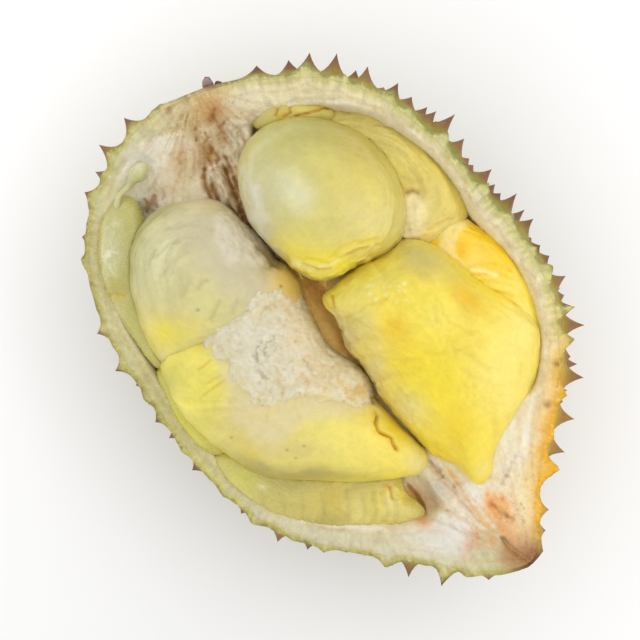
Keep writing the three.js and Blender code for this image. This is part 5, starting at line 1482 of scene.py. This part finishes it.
def paint_rind(ob, contour):
    p, n = coords(ob), vnormals(ob)
    U, V = places(p)
    x, y, z = p.T
    u = np.empty(len(p), np.float32)
    ob.data.attributes["u"].data.foreach_get("value", u)
    r = np.empty(len(p), np.float32)
    ob.data.attributes["rnd"].data.foreach_get("value", r)
    cut = sstep(0.6, 0.15, np.abs(z - pith_level(x, y)))
    end = np.clip(1.15 * blob(U, V, 562, 430, 30, 84) + 1.1 * blob(U, V, 548, 500, 28, 60), 0, 1)
    green = np.clip(sstep(20, 90, y) * sstep(90, 0, x), 0, 1)
    skin_tone = mix(np.tile(hexlin("#a19843"), (len(p), 1)), hexlin("#8b923c"), green)
    skin_tone = mix(skin_tone, hexlin("#e8ad2e"), 0.9 * end)
    low = sstep(70, 20, z)
    skin_tone = mix(skin_tone, hexlin("#8d8a3a"), 0.6 * low)
    patch = fbm(p / 16, 3, 91)
    skin_tone = mix(skin_tone, hexlin("#b3913e"), np.clip(0.5 * patch + 0.15, 0, 0.6))
    tip_tone = mix(np.tile(hexlin("#6b4434"), (len(p), 1)), hexlin("#94694f"), r)
    tip_tone = mix(tip_tone, hexlin("#b98a3c"), 0.5 * end)
    skin_tone = mix(skin_tone, hexlin("#a38a34"), 0.75 * sstep(0.10, 0.42, u + 0.1 * fbm(p / 3, 2, 92)))
    t = sstep(0.32, 0.82, u + 0.16 * fbm(p / 2.2, 3, 93))
    tone = mix(skin_tone, tip_tone, 0.9 * t)
    tone = mix(tone, hexlin("#4f3a28"), 0.6 * sstep(0.9, 1.0, u))
    # dark flecks in the creases and on the flanks
    fleck = sstep(0.35, 0.6, fbm(p / 1.5, 3, 95))
    tone = mix(tone, hexlin("#5f5626"), 0.4 * fleck * (1 - cut))
    tone = mix(tone, cut_tone(p, near_distance(x, y, contour)), cut)
    tone = mix(tone, hexlin("#6d4630"), 0.95 * np.clip(1.2 * blob(U, V, 532, 562, 22, 18), 0, 1))
    tone = mix(tone, hexlin("#8a5c3c"), 0.6 * np.clip(blob(U, V, 210, 84, 18, 14), 0, 1))
    tone = tone * (1 + 0.10 * fbm(p / 2.0, 3, 98))[:, None]
    colour_attr(ob, "tint", np.clip(tone, 0, 1))
    attr(ob, "cut", cut)


# ---------------------------------------------------------------- materials
def nodes_of(name):
    m = bpy.data.materials.new(name)
    m.use_nodes = True
    t = m.node_tree
    return m, t.nodes, t.links, t.nodes["Principled BSDF"]


def noise_node(N, L, scale, detail=4.0, rough=0.55, stretch=None):
    co = N.new("ShaderNodeTexCoord")
    mp = N.new("ShaderNodeMapping")
    L.new(co.outputs["Object"], mp.inputs["Vector"])
    if stretch:
        mp.inputs["Scale"].default_value = stretch
    t = N.new("ShaderNodeTexNoise")
    t.inputs["Scale"].default_value = scale
    t.inputs["Detail"].default_value = detail
    t.inputs["Roughness"].default_value = rough
    L.new(mp.outputs["Vector"], t.inputs["Vector"])
    return t


def ramp(N, L, source, low, high, a, b):
    m = N.new("ShaderNodeMapRange")
    m.inputs["From Min"].default_value, m.inputs["From Max"].default_value = low, high
    m.inputs["To Min"].default_value, m.inputs["To Max"].default_value = a, b
    L.new(source, m.inputs["Value"])
    return m.outputs["Result"]


def math_node(N, L, op, a, b):
    m = N.new("ShaderNodeMath")
    m.operation = op
    for k, s in enumerate((a, b)):
        if isinstance(s, (int, float)):
            m.inputs[k].default_value = s
        else:
            L.new(s, m.inputs[k])
    return m.outputs[0]


def tinted(N, L, shader, factor):
    """The painted tint, lightened and darkened a little by a fine pattern."""
    c = N.new("ShaderNodeVertexColor")
    c.layer_name = "tint"
    v = N.new("ShaderNodeVectorMath")
    v.operation = "SCALE"
    L.new(c.outputs["Color"], v.inputs[0])
    L.new(factor, v.inputs["Scale"])
    L.new(v.outputs["Vector"], shader.inputs["Base Color"])


def flesh_material(name, rough=0.42, coat=0.12):
    m, N, L, s = nodes_of(name)
    fine = noise_node(N, L, 900, 5)
    broad = noise_node(N, L, 160, 4)
    tinted(N, L, s, math_node(N, L, "MULTIPLY", ramp(N, L, fine.outputs["Fac"], 0.25, 0.75, 0.965, 1.035), ramp(N, L, broad.outputs["Fac"], 0.25, 0.75, 0.96, 1.04)))
    ch = N.new("ShaderNodeAttribute")
    ch.attribute_name = "chalk"
    L.new(math_node(N, L, "ADD", ramp(N, L, fine.outputs["Fac"], 0.3, 0.7, rough - 0.06, rough + 0.08), ramp(N, L, ch.outputs["Fac"], 0, 1, 0, 0.42)), s.inputs["Roughness"])
    s.inputs["Subsurface Weight"].default_value = 0.22
    s.inputs["Subsurface Radius"].default_value = (1.0, 0.75, 0.3)
    s.inputs["Subsurface Scale"].default_value = 0.004
    s.inputs["Specular IOR Level"].default_value = 0.42
    s.inputs["Coat Weight"].default_value = coat
    s.inputs["Coat Roughness"].default_value = 0.24
    b1 = N.new("ShaderNodeBump")
    b1.inputs["Strength"].default_value = 0.35
    b1.inputs["Distance"].default_value = 0.0006
    L.new(broad.outputs["Fac"], b1.inputs["Height"])
    b2 = N.new("ShaderNodeBump")
    b2.inputs["Strength"].default_value = 0.3
    b2.inputs["Distance"].default_value = 0.00012
    L.new(fine.outputs["Fac"], b2.inputs["Height"])
    L.new(b1.outputs["Normal"], b2.inputs["Normal"])
    L.new(b2.outputs["Normal"], s.inputs["Normal"])
    return m


def pith_material():
    m, N, L, s = nodes_of("pith")
    fine = noise_node(N, L, 1400, 6, 0.65)
    fibre = noise_node(N, L, 420, 6, 0.65, (1.0, 1.0, 0.5))
    tinted(N, L, s, math_node(N, L, "MULTIPLY", ramp(N, L, fine.outputs["Fac"], 0.25, 0.75, 0.93, 1.06), ramp(N, L, fibre.outputs["Fac"], 0.25, 0.75, 0.92, 1.07)))
    L.new(ramp(N, L, fine.outputs["Fac"], 0.3, 0.7, 0.78, 0.95), s.inputs["Roughness"])
    s.inputs["Subsurface Weight"].default_value = 0.15
    s.inputs["Subsurface Radius"].default_value = (1.0, 0.8, 0.55)
    s.inputs["Subsurface Scale"].default_value = 0.002
    s.inputs["Specular IOR Level"].default_value = 0.2
    b1 = N.new("ShaderNodeBump")
    b1.inputs["Strength"].default_value = 0.9
    b1.inputs["Distance"].default_value = 0.0011
    L.new(fibre.outputs["Fac"], b1.inputs["Height"])
    b2 = N.new("ShaderNodeBump")
    b2.inputs["Strength"].default_value = 0.7
    b2.inputs["Distance"].default_value = 0.00035
    L.new(fine.outputs["Fac"], b2.inputs["Height"])
    L.new(b1.outputs["Normal"], b2.inputs["Normal"])
    L.new(b2.outputs["Normal"], s.inputs["Normal"])
    return m


def rind_material():
    m, N, L, s = nodes_of("thorny_rind")
    fine = noise_node(N, L, 1500, 5)
    broad = noise_node(N, L, 300, 5)
    tinted(N, L, s, math_node(N, L, "MULTIPLY", ramp(N, L, fine.outputs["Fac"], 0.25, 0.75, 0.88, 1.1), ramp(N, L, broad.outputs["Fac"], 0.25, 0.75, 0.9, 1.1)))
    L.new(ramp(N, L, broad.outputs["Fac"], 0.3, 0.7, 0.5, 0.72), s.inputs["Roughness"])
    s.inputs["Specular IOR Level"].default_value = 0.35
    b1 = N.new("ShaderNodeBump")
    b1.inputs["Strength"].default_value = 0.6
    b1.inputs["Distance"].default_value = 0.0005
    L.new(broad.outputs["Fac"], b1.inputs["Height"])
    b2 = N.new("ShaderNodeBump")
    b2.inputs["Strength"].default_value = 0.4
    b2.inputs["Distance"].default_value = 0.00018
    L.new(fine.outputs["Fac"], b2.inputs["Height"])
    L.new(b1.outputs["Normal"], b2.inputs["Normal"])
    L.new(b2.outputs["Normal"], s.inputs["Normal"])
    return m


# ---------------------------------------------------------------- the small undeveloped pod
BUD_PATH = [((145.5, 166), 81, 1.6), ((143.5, 168), 83, 3.2), ((140.5, 171), 84, 4.1), ((136.5, 175), 84, 4.3), ((132.5, 180.5), 82.3, 2.5), ((129, 186), 80, 1.7),
            ((124, 191), 79.5, 1.4), ((119.5, 195.5), 79.5, 1.4), ((117.5, 201), 79.5, 1.5), ((117, 208), 78, 1.5), ((117, 216), 74, 1.2)]


def tube(name, centres, radii, sides=20, steps=8, seed=0):
    c, r = np.asarray(centres, float), np.asarray(radii, float)
    n = len(c)
    t = np.linspace(0, n - 1, (n - 1) * steps + 1)
    i = np.clip(np.floor(t).astype(int), 0, n - 2)
    f = (t - i)[:, None]

    def at(a, k):
        return a[np.clip(k, 0, n - 1)]

    def cr(a):
        p0, p1, p2, p3 = at(a, i - 1), at(a, i), at(a, i + 1), at(a, i + 2)
        ff = f if a.ndim > 1 else f[:, 0]
        return 0.5 * (2 * p1 + (p2 - p0) * ff + (2 * p0 - 5 * p1 + 4 * p2 - p3) * ff ** 2 + (3 * p1 - p0 - 3 * p2 + p3) * ff ** 3)

    P, R = cr(c), np.maximum(0.05, cr(r))
    T = np.gradient(P, axis=0)
    T /= np.linalg.norm(T, axis=1, keepdims=True)
    up = np.array([0, 0, 1.0])
    A = np.cross(T, up)
    A /= np.maximum(1e-6, np.linalg.norm(A, axis=1, keepdims=True))
    B = np.cross(A, T)
    ang = np.linspace(0, 2 * math.pi, sides, endpoint=False)
    ring = A[:, None] * np.cos(ang)[None, :, None] + B[:, None] * np.sin(ang)[None, :, None]
    base = P[:, None] + ring * R[:, None, None]
    wob = 1 + 0.10 * fbm(base / np.maximum(1.0, r.max()), 3, seed + 1)
    V = (P[:, None] + ring * (R[:, None] * wob)[..., None]).reshape(-1, 3)
    m = len(P)
    V = np.concatenate([V, [P[0] - T[0] * R[0] * 0.5], [P[-1] + T[-1] * R[-1] * 0.5]])
    k, j = np.meshgrid(np.arange(m - 1), np.arange(sides), indexing="ij")
    j2 = (j + 1) % sides
    a, b, cc, d = k * sides + j, k * sides + j2, (k + 1) * sides + j2, (k + 1) * sides + j
    tris = np.concatenate([np.stack([a, b, cc], -1).reshape(-1, 3), np.stack([a, cc, d], -1).reshape(-1, 3)])
    j = np.arange(sides)
    j2 = (j + 1) % sides
    tris = np.concatenate([tris, np.stack([np.full(sides, m * sides), j2, j], -1), np.stack([np.full(sides, m * sides + 1), (m - 1) * sides + j, (m - 1) * sides + j2], -1)])
    tt = V[tris] - V.mean(0)
    if np.einsum("ij,ij->i", tt[:, 0], np.cross(tt[:, 1], tt[:, 2])).sum() < 0:
        tris = tris[:, ::-1].copy()
    ob = mesh_object(name, V, tris)
    smooth_shade(ob)
    return ob


def at_place(u, v, z):
    """Design millimetres of a place in the opening's layout at a height."""
    k = EYE / (EYE - (z - EQUATOR_Z))
    x, y = px(u, v)
    return [x / k, y / k, z]


def make_bud():
    ob = tube("undeveloped_pod_body", [at_place(u, v, z) for (u, v), z, _ in BUD_PATH], [r for _, _, r in BUD_PATH], 28, 8, 3)
    p = coords(ob)
    U, V = places(p)
    c = np.tile(hexlin("#c3c088"), (len(p), 1))
    # the pale spot on the bulb at (139, 166) is a painted highlight
    c = airbrush(c, U, V, [(139, 166, 6, 6, 0, "#d6d3a8", 0.8), (138, 182, 6, 7, 0, "#b9b878", 0.8), (122, 202, 9, 8, 0, "#d3cfa0", 0.7), (108, 216, 6, 9, 0, "#c3bf86", 0.8)])
    c = c * (1 + 0.08 * fbm(p / 2, 3, 5))[:, None]
    colour_attr(ob, "tint", c)
    attr(ob, "chalk", np.zeros(len(p)))
    return ob


THREADS = [
    [((297, 266), 92, 0.5), ((298, 271), 89, 0.35), ((300, 275), 87, 0.3), ((302, 279), 86, 0.22)],
    [((327, 274), 91, 0.7), ((326, 279), 88, 0.5), ((325, 284), 87, 0.4), ((327, 289), 86, 0.25)],
    [((248, 226), 88, 0.4), ((247, 231), 87, 0.3), ((250, 236), 86, 0.2)],
    [((438, 458), 88, 0.4), ((446, 470), 88, 0.35), ((452, 482), 87, 0.25)],
]
SCAR = [[((207, 79), 84, 1.6), ((207, 82), 85, 2.4), ((208, 86), 84, 2.8), ((209, 90), 82, 2.0)], [((216, 83), 84, 1.2), ((219, 85), 84.5, 1.9), ((222, 87), 83.5, 1.6)],
        [((185, 97), 83, 0.9), ((187, 99), 83.5, 1.4), ((189, 101), 82.5, 1.0)]]


def make_threads():
    out = []
    for k, path in enumerate(THREADS):
        ob = tube("torn_thread_%d" % (k + 1), [at_place(u, v, z) for (u, v), z, _ in path], [r for _, _, r in path], 10, 6, k)
        p = coords(ob)
        c = np.tile(hexlin("#efe08c" if k < 2 else "#e0d2ac"), (len(p), 1)) * (1 + 0.1 * fbm(p / 1.5, 2, k))[:, None]
        colour_attr(ob, "tint", np.clip(c, 0, 1))
        attr(ob, "chalk", np.full(len(p), 0.4))
        out.append(ob)
    return out


def make_scar():
    out = []
    for k, path in enumerate(SCAR):
        ob = tube("stalk_scar_%d" % (k + 1), [at_place(u, v, z) for (u, v), z, _ in path], [r for _, _, r in path], 22, 8, 20 + k)
        p, n = coords(ob), vnormals(ob)
        p = p + n * (0.35 * fbm(p / 1.4, 3, 30 + k))[:, None]
        set_coords(ob, p)
        c = mix(np.tile(hexlin(("#a58a86", "#4c2c30", "#5a3a2c")[k]), (len(p), 1)), hexlin(("#6d4a4a", "#7a4a44", "#8a6248")[k]), sstep(-0.2, 0.4, fbm(p / 1.8, 3, 40 + k)))
        colour_attr(ob, "tint", np.clip(c, 0, 1))
        attr(ob, "cut", np.zeros(len(p)))
        out.append(ob)
    return out


# ---------------------------------------------------------------- crumbly pith left over the two left-hand pods
CRUST = [(207, 338), (220, 331), (236, 321), (246, 311), (254, 298), (268, 290), (286, 291), (304, 298), (312, 312), (318, 328), (327, 342), (337, 354), (351, 361),
         (367, 371), (376, 387), (368, 402), (346, 404), (330, 398), (312, 400), (296, 394), (280, 404), (262, 410), (248, 400), (238, 384), (228, 370), (216, 354)]


def make_crust(pods):
    """A torn layer that follows the pods' tops and bridges the seam between them; its edge sinks into the flesh."""
    step = 0.62
    c = np.array([px(u, v) for u, v in CRUST])
    lo, hi = c.min(0) - 5, c.max(0) + 3
    nx, ny = int((hi[0] - lo[0]) / step), int((hi[1] - lo[1]) / step)
    X, Y = np.meshgrid(np.linspace(lo[0], hi[0], nx), np.linspace(lo[1], hi[1], ny), indexing="ij")
    H = np.full(X.shape, 60.0)
    for ob in pods:
        p = coords(ob)
        polys = np.empty(len(ob.data.loops), np.int32)
        ob.data.loops.foreach_get("vertex_index", polys)
        starts = np.empty(len(ob.data.polygons), np.int32)
        ob.data.polygons.foreach_get("loop_start", starts)
        totals = np.empty(len(ob.data.polygons), np.int32)
        ob.data.polygons.foreach_get("loop_total", totals)
        tree = BVHTree.FromPolygons([tuple(v) for v in p], [tuple(polys[a:a + b]) for a, b in zip(starts.tolist(), totals.tolist())])
        for i in range(nx):
            for j in range(ny):
                hit = tree.ray_cast((X[i, j], Y[i, j], 140.0), (0, 0, -1))
                if hit[0] is not None:
                    H[i, j] = max(H[i, j], hit[0].z)
    E = H.copy()
    for _ in range(60):
        q = np.pad(E, 1, mode="edge")
        E = np.maximum(H, (q[:-2, 1:-1] + q[2:, 1:-1] + q[1:-1, :-2] + q[1:-1, 2:]) / 4)
    flat = np.stack([X.ravel(), Y.ravel(), E.ravel()], -1)
    U, V = places(flat)
    wu, wv = U + 11 * fbm(flat / 6, 5, 101), V + 11 * fbm(flat / 6, 5, 107)
    mask = area_of(wu, wv, CRUST, 5).reshape(X.shape)
    thick = rough_skin(flat, 103, 3.0).reshape(X.shape)
    fine = rough_skin(flat, 109, 1.5).reshape(X.shape)
    swell = fbm(flat / 11, 2, 111).reshape(X.shape)
    end = blob(U, V, 352, 386, 22, 24).reshape(X.shape)
    slant = (1 - 2 * np.abs(fbm(np.stack([(0.8 * U + 0.6 * V) / 9, (0.6 * U - 0.8 * V) / 26, U * 0], -1), 3, 113))).reshape(X.shape)
    top = E - 1.9 + 2.5 * mask + mask * (1.9 * thick + 1.1 * fine + 0.9 * swell + 1.1 * slant) - 0.9 * end * mask
    keep = mask > 0.06
    cell = keep[:-1, :-1] & keep[1:, :-1] & keep[1:, 1:] & keep[:-1, 1:]
    # drop cells that touch another only at a corner
    for _ in range(4):
        q = np.pad(cell, 1)
        near = q[:-2, 1:-1].astype(int) + q[2:, 1:-1] + q[1:-1, :-2] + q[1:-1, 2:]
        cell &= near >= 2
    idx = np.arange(nx * ny).reshape(nx, ny)
    a, b, c2, d = idx[:-1, :-1][cell], idx[1:, :-1][cell], idx[1:, 1:][cell], idx[:-1, 1:][cell]
    quads = np.stack([a, b, c2, d], -1)
    m = nx * ny
    verts = np.concatenate([np.stack([X.ravel(), Y.ravel(), top.ravel()], -1), np.stack([X.ravel(), Y.ravel(), top.ravel() - 3.0], -1)])
    e = np.concatenate([quads[:, [0, 1]], quads[:, [1, 2]], quads[:, [2, 3]], quads[:, [3, 0]]])
    key = {}
    for x, y in e.tolist():
        key[(x, y)] = 1
    rim = [(x, y) for x, y in key if (y, x) not in key]
    faces = [tuple(t) for t in quads.tolist()] + [tuple(m + k for k in t[::-1]) for t in quads.tolist()] + [(y, x, m + x, m + y) for x, y in rim]
    used = np.unique(np.concatenate([np.array(f) for f in faces]))
    new = np.full(2 * m, -1)
    new[used] = np.arange(len(used))
    ob = mesh_object("pith_crust", verts[used], [tuple(int(new[k]) for k in f) for f in faces])
    keep_largest(ob)
    smooth_shade(ob)
    p, n = coords(ob), vnormals(ob)
    U, V = places(p)
    wu, wv = U + 5 * fbm(p / 6, 3, 121), V + 5 * fbm(p / 6, 3, 127)
    tone = np.tile(hexlin("#ece3c4"), (len(p), 1))
    tone = airbrush(tone, wu, wv, [
        (300, 335, 18, 24, -20, "#f2dcae", 0.85), (318, 368, 18, 16, 0, "#ecd7a2", 0.85), (290, 380, 20, 14, 0, "#e6d7aa", 0.8), (226, 350, 14, 16, 0, "#e4dab4", 0.8),
        (262, 352, 18, 20, 0, "#ece5cc", 0.8), (286, 306, 16, 10, 0, "#ecd4a0", 0.85), (255, 312, 14, 8, -20, "#ebdfb4", 0.8), (350, 386, 20, 20, 0, "#efd99c", 0.95), (362, 392, 8, 12, 0, "#ecc874", 0.6),
        (270, 402, 22, 10, 0, "#e8dba8", 0.9), (320, 398, 24, 8, 0, "#f2e098", 0.9), (240, 385, 10, 16, -30, "#e8dda4", 0.8)])
    # darker in the crust's low places and paler on its high ones: partly its own colour, partly painted shade and light
    rise = rough_skin(p, 103, 3.0)
    tone = mix(tone, hexlin("#b9a474"), 0.55 * sstep(0.0, -0.5, rise))
    tone = mix(tone, hexlin("#f7f2e2"), 0.5 * sstep(0.15, 0.5, rise))
    tone = mix(tone, hexlin("#e6b878"), 0.45 * sstep(0.15, 0.45, fbm(p / 3, 3, 131)) * sstep(262, 296, U))
    # cracks are sunk a little and darkened: partly their own colour, partly painted shade
    for pts_, strength in (([(262, 338), (257, 350), (255, 360), (259, 366)], 0.6), ([(276, 334), (268, 344), (262, 354)], 0.5), ([(258, 368), (262, 376), (270, 378)], 0.4), ([(300, 356), (308, 366), (316, 372)], 0.35)):
        w = stroke(U + 3 * vnoise(p / 1.6, 5), V + 3 * vnoise(p / 1.6, 9), pts_, 1.1)
        p = p - np.array([0, 0, 1.0]) * (0.9 * w)[:, None]
        tone = mix(tone, hexlin("#a3956e"), strength * w)
    set_coords(ob, p)
    tone = tone * (1 + 0.06 * fbm(p / 1.6, 3, 133))[:, None]
    colour_attr(ob, "tint", np.clip(tone, 0, 1))
    return ob


# ---------------------------------------------------------------- assembly
def finish_piece(ob, material, slot, *nodes):
    ob.data.materials.clear()
    ob.data.materials.append(material)
    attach(ob, "root")
    if nodes:
        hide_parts(*nodes)


def build():
    pods = make_pods()
    for name, ob in pods.items():
        POD_MAKERS[name](ob)
    flesh = {
        "khaki_flesh": flesh_material("khaki_flesh", 0.34, 0.5), "olive_flesh": flesh_material("olive_flesh", 0.42, 0.12), "yellow_flesh": flesh_material("yellow_flesh", 0.38, 0.22),
        "pale_flesh": flesh_material("pale_flesh", 0.36, 0.35), "pithy_flesh": flesh_material("pithy_flesh", 0.42, 0.14), "golden_flesh": flesh_material("golden_flesh", 0.34, 0.35),
        "glossy_flesh": flesh_material("glossy_flesh", 0.26, 0.7), "green_flesh": flesh_material("green_flesh", 0.22, 0.9)}
    for name, ob in pods.items():
        finish_piece(ob, flesh[SLOT_OF[name]], SLOT_OF[name], name)
    crust = make_crust([pods["pod_left_upper"], pods["pod_left_lower"]])
    rind, pith = make_husk()
    for ob in (rind, pith):
        smooth_shade(ob)
    contour = cut_contour(rind)
    paint_rind(rind, contour)
    paint_pith(pith, contour)
    skin_finish = rind_material()
    for ob in make_scar():
        finish_piece(ob, skin_finish, "husk")
    for ob in make_threads():
        finish_piece(ob, flesh["yellow_flesh"], "yellow_flesh")
    finish_piece(rind, skin_finish, "husk", "husk")
    torn_finish = pith_material()
    finish_piece(pith, torn_finish, "husk", "husk")
    finish_piece(crust, torn_finish, "pithy_flesh")
    finish_piece(make_bud(), flesh["green_flesh"], "green_flesh", "undeveloped_pod")


def stage():
    me = bpy.data.meshes.new("floor")
    bm = bmesh.new()
    bmesh.ops.create_circle(bm, cap_ends=True, segments=96, radius=2.6)
    bm.to_mesh(me)
    bm.free()
    floor = bpy.data.objects.new("floor", me)
    bpy.context.scene.collection.objects.link(floor)
    m, N, L, s = nodes_of("pale_floor")
    s.inputs["Base Color"].default_value = (0.96, 0.96, 0.96, 1)
    s.inputs["Roughness"].default_value = 0.95
    s.inputs["Specular IOR Level"].default_value = 0.0
    me.materials.append(m)
    cam = bpy.data.cameras.new("camera")
    cam.sensor_width, cam.lens = 36, 117.2
    cam.clip_end = 20
    co = bpy.data.objects.new("camera", cam)
    co.location, co.rotation_euler = (-0.0103, -0.0079, 1.0832), (0, 0, math.radians(53.13))
    bpy.context.scene.collection.objects.link(co)
    bpy.context.scene.camera = co
    w = bpy.data.worlds.new("studio")
    w.use_nodes = True
    w.node_tree.nodes["Background"].inputs["Color"].default_value = (1, 1, 1, 1)
    w.node_tree.nodes["Background"].inputs["Strength"].default_value = 0.95
    bpy.context.scene.world = w

    def lamp(name, right, up_, z, size, power):
        """A soft square lamp, placed by its offset right of, above and over the fruit as the camera frames it."""
        l = bpy.data.lights.new(name, "AREA")
        l.shape, l.size, l.energy = "SQUARE", size, power
        o = bpy.data.objects.new(name, l)
        loc = np.array([0.6 * right - 0.8 * up_, 0.8 * right + 0.6 * up_, z])
        o.location = loc
        d = np.array([0, 0, 0.06]) - loc
        d /= np.linalg.norm(d)
        o.rotation_euler = (math.acos(-d[2]), 0, math.atan2(d[0], -d[1]))
        bpy.context.scene.collection.objects.link(o)

    lamp("key", -0.85, 0.45, 1.0, 0.45, 22)
    lamp("fill", 0.9, 0.3, 1.2, 1.8, 9)
    bpy.context.scene.view_settings.view_transform = "Standard"
    bpy.context.scene.view_settings.look = "None"


build()
stage()
